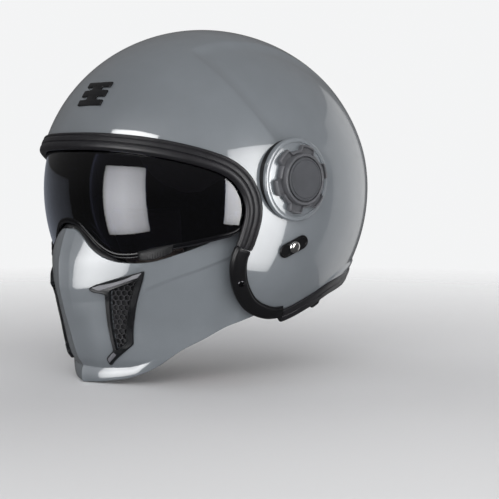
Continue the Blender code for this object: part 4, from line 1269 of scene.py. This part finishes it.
def build_chin_foam():
    """The pad of bead foam behind the chin guard."""
    t = np.linspace(-2.36, 2.36, 90)
    bottom = smooth_value(GUARD_BOTTOM, np.abs(t)) + 0.0145
    high = np.maximum(-0.0805, bottom + 0.0200)
    rows = [
        on_guard(t, bottom + (high - bottom) * share, GUARD_WALL + inset / 1000)
        for share, inset in CHIN_FOAM_PROFILE
    ]
    piece("chin_foam", band(rows), "foam", "chin_guard", "chin_pad", 60)


def lon_lat(longitude, latitude):
    """Directions from longitude from +X towards +Y, and latitude, in degrees."""
    lon, lat = np.radians(longitude), np.radians(latitude)
    level = np.cos(lat)
    return np.stack([level * np.cos(lon), level * np.sin(lon), np.sin(lat) + 0 * lon], axis=-1)


def vertices(obj):
    return np.array([v.co for v in obj.data.vertices])


def move_vertices(obj, points):
    obj.data.vertices.foreach_set("co", points.ravel())
    obj.data.update()


def soften(obj, voxel, pressure, swell):
    """Sewn cloth blown up round its filling: it rises between its edges and wrinkles a little."""
    material = obj.data.materials[0]
    remesh = obj.modifiers.new("remesh", "REMESH")
    remesh.mode = "VOXEL"
    remesh.voxel_size = voxel
    keep(obj)
    start = vertices(obj)
    cloth = obj.modifiers.new("cloth", "CLOTH")
    settings = cloth.settings
    settings.quality = 4
    settings.use_pressure = True
    settings.uniform_pressure_force = pressure
    settings.tension_stiffness = 12
    settings.compression_stiffness = 4
    settings.bending_stiffness = 0.4
    settings.effector_weights.gravity = 0.0
    cloth.point_cache.frame_end = 20
    for frame_number in range(1, 21):
        bpy.context.scene.frame_set(frame_number)
    keep(obj)
    bpy.context.scene.frame_set(1)
    move = vertices(obj) - start
    length = np.linalg.norm(move, axis=1, keepdims=True)
    move_vertices(obj, start + move * np.minimum(1.0, swell / np.maximum(length, 1e-9)))
    smooth = obj.modifiers.new("smooth", "SUBSURF")
    smooth.levels = smooth.render_levels = 1
    keep(obj)
    obj.data.materials.clear()
    obj.data.materials.append(material)
    obj.data.shade_smooth()


PAD_VOXEL = 0.0042
PAD_PRESSURE = 4.0


def pad(name, grid_at, depths, node, swell, seams):
    """A pad grown between two depths under the shell, simulated as cloth, then quilted."""
    outer, inner = under_shell(grid_at, depths[0]), under_shell(grid_at, depths[1])
    middle = 0.5 * (outer + inner)
    for end in (0, -1):
        for line in (np.s_[end], np.s_[:, end]):
            outer[line] = 0.6 * outer[line] + 0.4 * middle[line]
            inner[line] = 0.5 * inner[line] + 0.5 * middle[line]
    obj = piece(name, sheet(outer, inner), "mesh", "helmet", node, 80)
    soften(obj, PAD_VOXEL, PAD_PRESSURE, swell)
    quilt(obj, seams)
    return obj


def quilt(obj, seams):
    """Stitched channels pressed into the cloth along the seam paths."""
    points = vertices(obj) - CENTRE
    press = np.zeros(len(points))
    for path, width, depth in seams:
        near = np.full(len(points), 1e9)
        for a, b in zip(path[:-1], path[1:]):
            along = b - a
            share = np.clip((points - a) @ along / max(along @ along, 1e-12), 0, 1)
            near = np.minimum(near, np.linalg.norm(points - a - share[:, None] * along, axis=1))
        press = np.maximum(press, depth * np.exp(-((near / width) ** 2)))
    out = unit(points / half_axes(points, 0.03) ** 2)
    move_vertices(obj, points + out * press[:, None] + CENTRE)


def build_pads():
    low, cheek, neck = (FOAM_INNER + depth for depth in (0.0015, 0.0178, 0.0128))
    west, east, south, north, border = -24, 22, -45, -12, 5.5
    corners = np.array([(west, south), (east, south), (east, north), (west, north), (west, south)])
    corners = corners + np.array([(1, 1), (-1, 1), (-1, -1), (1, -1), (1, 1)]) * border
    line = np.concatenate([np.linspace(a, b, 12) for a, b in zip(corners[:-1], corners[1:])])
    seams = [(under_shell(lon_lat(line[:, 0], line[:, 1]), cheek), 0.0016, 0.0022)]
    for share in (0.36, 0.68):
        lon = np.linspace(west + border, east - border, 14)
        lat = south + (north - south) * share + 2.5 * np.sin(np.linspace(0, math.pi, 14))
        seams.append((under_shell(lon_lat(lon, lat), cheek), 0.0013, 0.0016))
    grid_at = lon_lat(np.linspace(west, east, 24)[None, :], np.linspace(south, north, 18)[:, None])
    left = pad("cheek_cushion_left", grid_at, (low, cheek), "cheek_pad_left", 0.0016, seams)
    mirror_piece(left, "cheek_cushion_right", "cheek_pad_right")

    grid_at = lon_lat(np.linspace(52, 128, 30)[None, :], np.linspace(-28, -12, 9)[:, None])
    seams = [
        (under_shell(lon_lat(np.full(6, at), np.linspace(-26, -14, 6)), neck), 0.0014, 0.0018)
        for at in (64, 77, 90, 103, 116)
    ]
    pad("neck_cushion", grid_at, (low, neck), "neck_roll", 0.0014, seams)
    build_crown_pad()


def build_crown_pad():
    """The crown cloth: a padded cap in petals, sewn together along seams from the pole."""
    loop, columns, rows, reach = edge_loop(120), 120, 34, 0.62
    outer = dome(loop, rows, FOAM_INNER + 0.0018, reach)
    surface = dome(loop, rows, FOAM_INNER + 0.0096, reach)
    outer[-1] = 0.55 * outer[-1] + 0.45 * surface[-1]
    cap = sheet(outer, surface, wrap=True, pole=True)
    obj = piece("crown_cushion", cap, "mesh", "helmet", "crown_pad", 80)
    soften(obj, 0.0050, PAD_PRESSURE, 0.0012)
    rings = [np.concatenate([surface[row], surface[row][:1]])[::3] for row in (8, 22)]
    spokes = [surface[6:, column] for column in range(0, columns, 15)]
    quilt(obj, [(path, 0.0016, 0.0020) for path in spokes + rings])


def mirror_piece(source, name, node):
    """The same piece on the other side of the middle plane."""
    mesh = source.data.copy()
    mesh.name = name
    mesh.flip_normals()
    obj = add_object(name, mesh)
    move_vertices(obj, vertices(obj) * (-1.0, 1.0, 1.0))
    return ride_body(obj, "helmet", node)


# ---------------------------------------------------------------- strap and buckle

STRAP_HALF_WIDTH = 0.0090
STRAP_HALF_WALL = 0.0009
STRAP_PATH = (
    (0.1085, -0.0080, -0.0420), (0.1025, -0.0060, -0.0600), (0.0920, -0.0035, -0.0770),
    (0.0780, -0.0035, -0.0865), (0.0620, -0.0120, -0.0940), (0.0440, -0.0250, -0.1005),
    (0.0200, -0.0370, -0.1050), (0.0000, -0.0400, -0.1060),
)
STRAP_LEFT_END = (0.0640, -0.0110, -0.0930)
STRAP_TAIL = ((-0.0200, -0.0372, -0.1063), (0.0000, -0.0402, -0.1117), (0.0120, -0.0400, -0.1109))
BUCKLE_PLACE = np.array([0.0400, -0.0272, -0.1017])


def band_axes(path, count):
    """Points along a band's path with its directions: along, across and out of its face."""
    points = curve_through(path, count)
    along = unit(np.gradient(points, axis=0))
    wide = unit(np.tile((0.0, 1.0, 0.0), (count, 1)) - along * along[:, 1:2])
    return points, along, wide, np.cross(along, wide)


def ribbon(path, half_width, half_wall, count, weave=0.0):
    """A flat band along a path. Its face carries rows of raised yarns when woven."""
    points, _, wide, thick = band_axes(path, count)
    across = np.linspace(-1, 1, 15)
    profile = [(s, 1.0) for s in across] + [(s, -1.0) for s in across[::-1]]
    rings = []
    for at in range(count):
        ring = []
        for s, face in profile:
            edge = math.sqrt(max(0.0, 1 - max(0.0, (abs(s) - 0.90) / 0.10) ** 2))
            row = weave * (0.5 + 0.5 * math.cos(math.pi * at + math.pi * 7 * s))
            high = face * (half_wall * (0.35 + 0.65 * edge) - (weave - row) * (abs(s) < 0.93))
            ring.append(points[at] + wide[at] * half_width * s + thick[at] * high)
        rings.append(ring)
    return loft(rings)


def stitches(path, half_width, half_wall, share, pitch=0.0030):
    """A row of thread stitches along a band, at a share of its half width."""
    length = float(np.sum(np.linalg.norm(np.diff(curve_through(path, 200), axis=0), axis=1)))
    count = max(6, int(length / pitch) * 2)
    points, along, wide, thick = band_axes(path, count)
    turn = around(6)
    thread = np.stack([0.24 * np.cos(turn), 0.20 * np.sin(turn)], axis=1)
    half_stitch_mm = 0.36 * pitch * 1000
    ends = ((-1, 0.3), (-0.6, 1.0), (0.6, 1.0), (1, 0.3))
    profile = [(end * half_stitch_mm, size) for end, size in ends]
    shapes = []
    for at in range(2, count - 2, 2):
        for face in (1, -1):
            middle = points[at] + wide[at] * half_width * share + thick[at] * half_wall * face
            shapes.append(stacked(middle, (wide[at], thick[at], along[at]), thread, profile))
    return merged(*shapes)


def build_straps():
    left = [*STRAP_PATH[:4], STRAP_LEFT_END]
    right = [(-x, y, z) for x, y, z in STRAP_PATH[:6]] + list(STRAP_TAIL)
    for word, path, count in (("left", left, 110), ("right", right, 190)):
        strap = ribbon(path, STRAP_HALF_WIDTH, STRAP_HALF_WALL, count, 0.00018)
        piece(f"strap_{word}", strap, "webbing", "helmet", f"chin_strap_{word}", 50)
        rows = [stitches(path, STRAP_HALF_WIDTH, STRAP_HALF_WALL, s) for s in (-0.78, 0.78)]
        piece(f"strap_{word}_stitches", merged(*rows), "thread", "helmet", crease=60)
    build_strap_pad()
    build_slider()
    build_buckle()


def build_strap_pad():
    """A soft sleeve over the strap under the chin."""
    path = ((-0.0500, -0.0210, -0.0950), (-0.0340, -0.0305, -0.0992), (-0.0120, -0.0385, -0.1020))
    sleeve = ribbon(path, 0.0120, 0.0018, 40)
    obj = piece("strap_sleeve", sleeve, "mesh", "helmet", "strap_pad", 80)
    soften(obj, 0.0016, 3.0, 0.0006)


def block_at(middle, axes, size, corner, bevel):
    """A soft-cornered block along its axes, bevelled top and bottom. Sizes are in millimetres."""
    a, b, c = (0.5 * s for s in size)
    outline = rounded([(-a, -b), (a, -b), (a, b), (-a, b)], corner)
    inward = bevel / np.array([a, b])
    eased = ((c, 1.0), (c - 0.35 * bevel, 0.35), (c - bevel, 0.0))
    profile = [(-height, 1 - shrink * inward) for height, shrink in eased]
    profile += [(height, 1 - shrink * inward) for height, shrink in reversed(eased)]
    return stacked(middle, axes, outline, profile)


def build_slider():
    """The ladder lock that takes up the strap: a frame with a ribbed face."""
    middle = np.array([-0.0700, -0.0080, -0.0952])
    slope = unit(np.array([0.68, -0.28, -0.50]))
    wide = unit(np.array([0.0, 1.0, 0.0]) - slope * slope[1])
    axes = slope, wide, np.cross(slope, wide)
    shapes = [block_at(middle, axes, (14.0, 24.0, 3.0), 2.6, 0.7)]
    for at in (-0.0048, -0.0024, 0.0, 0.0024, 0.0048):
        for side in (-1, 1):
            place = middle + slope * at + axes[2] * side * 0.0015
            shapes.append(block_at(place, axes, (1.4, 20.0, 0.8), 0.6, 0.2))
    piece("ladder_lock", merged(*shapes), "plastic", "helmet", "strap_slider", 40)


def buckle_axes():
    along = unit(np.array([-0.885, -0.425, -0.185]))
    across = unit(np.cross((0.0, 0.0, 1.0), along))
    return along, across, np.cross(along, across)


def buckle_point(axes, at):
    """A place along, across and above the buckle's middle, in millimetres."""
    return BUCKLE_PLACE + np.array(at) @ np.array(axes) / 1000


def build_buckle():
    """The ratchet buckle: a body with a slot for the toothed tongue and a two-prong red lever."""
    axes = buckle_axes()

    def block(at, size, corner, bevel):
        return block_at(buckle_point(axes, at), axes, size, corner, bevel)

    body = block((0, 0, 0), (33.6, 21.6, 8.8), 3.6, 1.2)
    housing = piece("buckle_housing", body, "plastic", "helmet", "buckle_body", 35)
    slot = block((6, 0, 0.6), (40.0, 15.0, 3.4), 0.5, 0.3)
    well = block((2, 0, -4.9), (34.0, 12.0, 6.0), 0.5, 0.3)
    cut_out(housing, slot, well)
    housing.data.shade_smooth()
    housing.data.set_sharp_from_angle(angle=math.radians(35))

    tongue = [block((13, 0, 0.6), (32.0, 13.8, 1.8), 2.2, 0.4)]
    for at in np.arange(0.0, 18.0, 2.2):
        tongue.append(block((at, 0, -0.2), (1.2, 11.0, 0.6), 0.3, 0.2))
    piece("ratchet_tongue", merged(*tongue), "plastic", "buckle_tongue", "buckle_tongue", 35)

    profile = ((0, 1.2), (0.4, 1.7), (9.2, 1.7), (9.6, 1.2))
    barrel = disc_stack(buckle_point(axes, (-12, -4.8, -3)), axes[1], profile, 20)
    plate = block((-4, 0, -5.6), (16.0, 9.8, 2.4), 2.2, 0.7)
    prongs = [block((7.2, side * 3.0, -5.6), (13.6, 3.8, 2.4), 1.6, 0.7) for side in (-1, 1)]
    lever = merged(barrel, plate, *prongs)
    piece("red_lever", lever, "red", "buckle_lever", "buckle_lever", 40)
    profile = ((0, 0.6), (0.2, 0.9), (11.0, 0.9), (11.2, 0.6))
    pin = disc_stack(buckle_point(axes, (-12, -5.6, -3)), axes[1], profile, 20)
    piece("lever_pin", pin, "steel", "buckle_lever", "buckle_pin", 40)


# ---------------------------------------------------------------- room


def aim(obj, place, target):
    direction = Vector(target) - Vector(place)
    obj.location = place
    obj.rotation_euler = direction.to_track_quat("-Z", "Y").to_euler()


def ray_towards(azimuth, elevation):
    """A direction from its azimuth, from straight ahead towards +X, and elevation in degrees."""
    a, e = math.radians(azimuth), math.radians(elevation)
    return np.array([math.sin(a) * math.cos(e), -math.cos(a) * math.cos(e), math.sin(e)])


SOFTBOX_FALL = ((0.0, 0.55), (0.10, 0.85), (0.50, 1.10), (0.90, 0.85), (1.0, 0.55))


def softbox(name, azimuth, elevation, distance, width, height, power, colour=(1.0, 1.0, 1.0)):
    """A rectangular light that faces the helmet, brightest along its middle."""
    light = bpy.data.lights.new(name, "AREA")
    light.shape = "RECTANGLE"
    light.size, light.size_y = width, height
    light.energy = power
    light.color = colour
    light.use_nodes = True
    look = Nodes(light.node_tree)
    place = look.add("ShaderNodeNewGeometry").outputs["Parametric"]
    falls = [look.ramp(look.axis(place, axis), *SOFTBOX_FALL) for axis in ("X", "Y")]
    look.link(look.maths("MULTIPLY", *falls), look.tree.nodes["Emission"].inputs["Strength"])
    obj = add_object(name, light)
    aim(obj, CENTRE + ray_towards(azimuth, elevation) * distance, CENTRE)
    return obj


BACKDROP_COLOUR = (0.90, 0.905, 0.91, 1.0)
ROOM_BRIGHTNESS = ((0.0, 0.06), (0.45, 0.08), (0.56, 0.12), (0.80, 0.20), (1.0, 0.22))


def build_world():
    """Near white behind the helmet, and a dim studio in its reflections."""
    world = bpy.data.worlds.new("studio")
    bpy.context.scene.world = world
    world.use_nodes = True
    world.node_tree.nodes.clear()
    look = Nodes(world.node_tree)
    backdrop = look.add("ShaderNodeBackground", {"Color": BACKDROP_COLOUR})
    room = look.add("ShaderNodeBackground")
    up = look.axis(look.add("ShaderNodeTexCoord").outputs["Generated"], "Z")
    stops = [(position, (value, value, value * 1.02)) for position, value in ROOM_BRIGHTNESS]
    look.link(look.ramp(look.maths("MULTIPLY_ADD", up, 0.5, 0.5), *stops), room.inputs["Color"])
    seen = look.add("ShaderNodeLightPath").outputs["Is Camera Ray"]
    look.mixed(seen, room.outputs[0], backdrop.outputs[0], look.add("ShaderNodeOutputWorld"))

# Name, azimuth and elevation (degrees), distance, width and height (metres), watts, colour.
FRONT_BOX = ("front_box", 7.0, -6.0, 1.6, 1.00, 1.22, 30.0)
GUARD_BOX = ("guard_box", 7.0, 2.0, 1.6, 1.00, 1.77, 50.0)
BROW_STRIP = ("brow_strip", 9.0, 36.6, 1.6, 1.00, 0.09, 4.6)
SIDE_BOX = ("side_box", 87.0, -1.0, 1.6, 0.54, 1.16, 21.0)
SHELL_BOX = ("shell_box", 98.0, -9.5, 1.6, 1.16, 2.28, 78.0)
LENS_BOX = ("lens_box", -84.0, -11.0, 1.6, 2.30, 0.90, 1.9, (0.72, 0.80, 1.0))
REAR_BOX = ("rear_box", 178.0, -2.0, 2.4, 2.20, 2.60, 13.0)
DIFFUSE_LIGHTS = (
    ("key", 48.0, 20.0, 2.4, 2.6, 2.6, 50.0),
    ("side_fill", 104.0, 0.0, 2.4, 2.2, 2.2, 24.0),
    ("overhead", 80.0, 80.0, 2.4, 2.6, 2.6, 6.0),
    ("rear_fill", 205.0, 14.0, 2.6, 2.2, 2.2, 36.0),
    ("far_fill", -75.0, 16.0, 2.6, 2.2, 2.2, 22.0),
)


def only_on(light, names, state):
    """A flag that keeps a light on, or off, the named pieces."""
    group = bpy.data.collections.new(f"{light.name}_pieces")
    for name in names:
        group.objects.link(bpy.data.objects[name])
    light.light_linking.receiver_collection = group
    for item in group.collection_objects:
        item.light_linking.link_state = state


FLOOR_REACH = 9.0


def build_room():
    build_world()
    reflected = (FRONT_BOX, GUARD_BOX, BROW_STRIP, SIDE_BOX, SHELL_BOX, LENS_BOX, REAR_BOX)
    lights = {row[0]: softbox(*row) for row in reflected}
    for light in lights.values():
        light.visible_diffuse = False
    plates = ["pivot_plate_left_look", "pivot_plate_right_look"]
    only_on(lights["front_box"], ["guard"], "EXCLUDE")
    only_on(lights["guard_box"], ["guard"], "INCLUDE")
    only_on(lights["side_box"], ["shell", "guard"], "EXCLUDE")
    only_on(lights["shell_box"], ["shell", *plates], "INCLUDE")
    only_on(lights["lens_box"], ["lens"], "INCLUDE")
    for row in DIFFUSE_LIGHTS:
        softbox(*row).visible_glossy = False
    mesh = bpy.data.meshes.new("floor")
    corners = [(-1, -1, 0), (1, -1, 0), (1, 1, 0), (-1, 1, 0)]
    mesh.from_pydata([[FLOOR_REACH * c for c in corner] for corner in corners], [], [(0, 1, 2, 3)])
    mesh.materials.append(pale_floor())
    add_object("floor", mesh)


def build_camera():
    """Ahead of the helmet and to the wearer's left, level with the visor."""
    lens = bpy.data.cameras.new("camera")
    lens.sensor_width = 36.0
    lens.angle = math.radians(20.74)
    lens.shift_x, lens.shift_y = 0.092, -0.125
    camera = add_object("camera", lens)
    aim(camera, CENTRE + ray_towards(51.0, 1.0) * 1.10, CENTRE)
    bpy.context.scene.camera = camera


def build_everything():
    build_shell()
    build_trims()
    build_rivets()
    build_badge()
    build_visor()
    build_pivots()
    build_guard()
    build_foam()
    build_chin_foam()
    build_pads()
    build_straps()
    build_room()
    build_camera()


build_everything()
bpy.context.scene.view_settings.view_transform = "Standard"
bpy.context.view_layer.update()
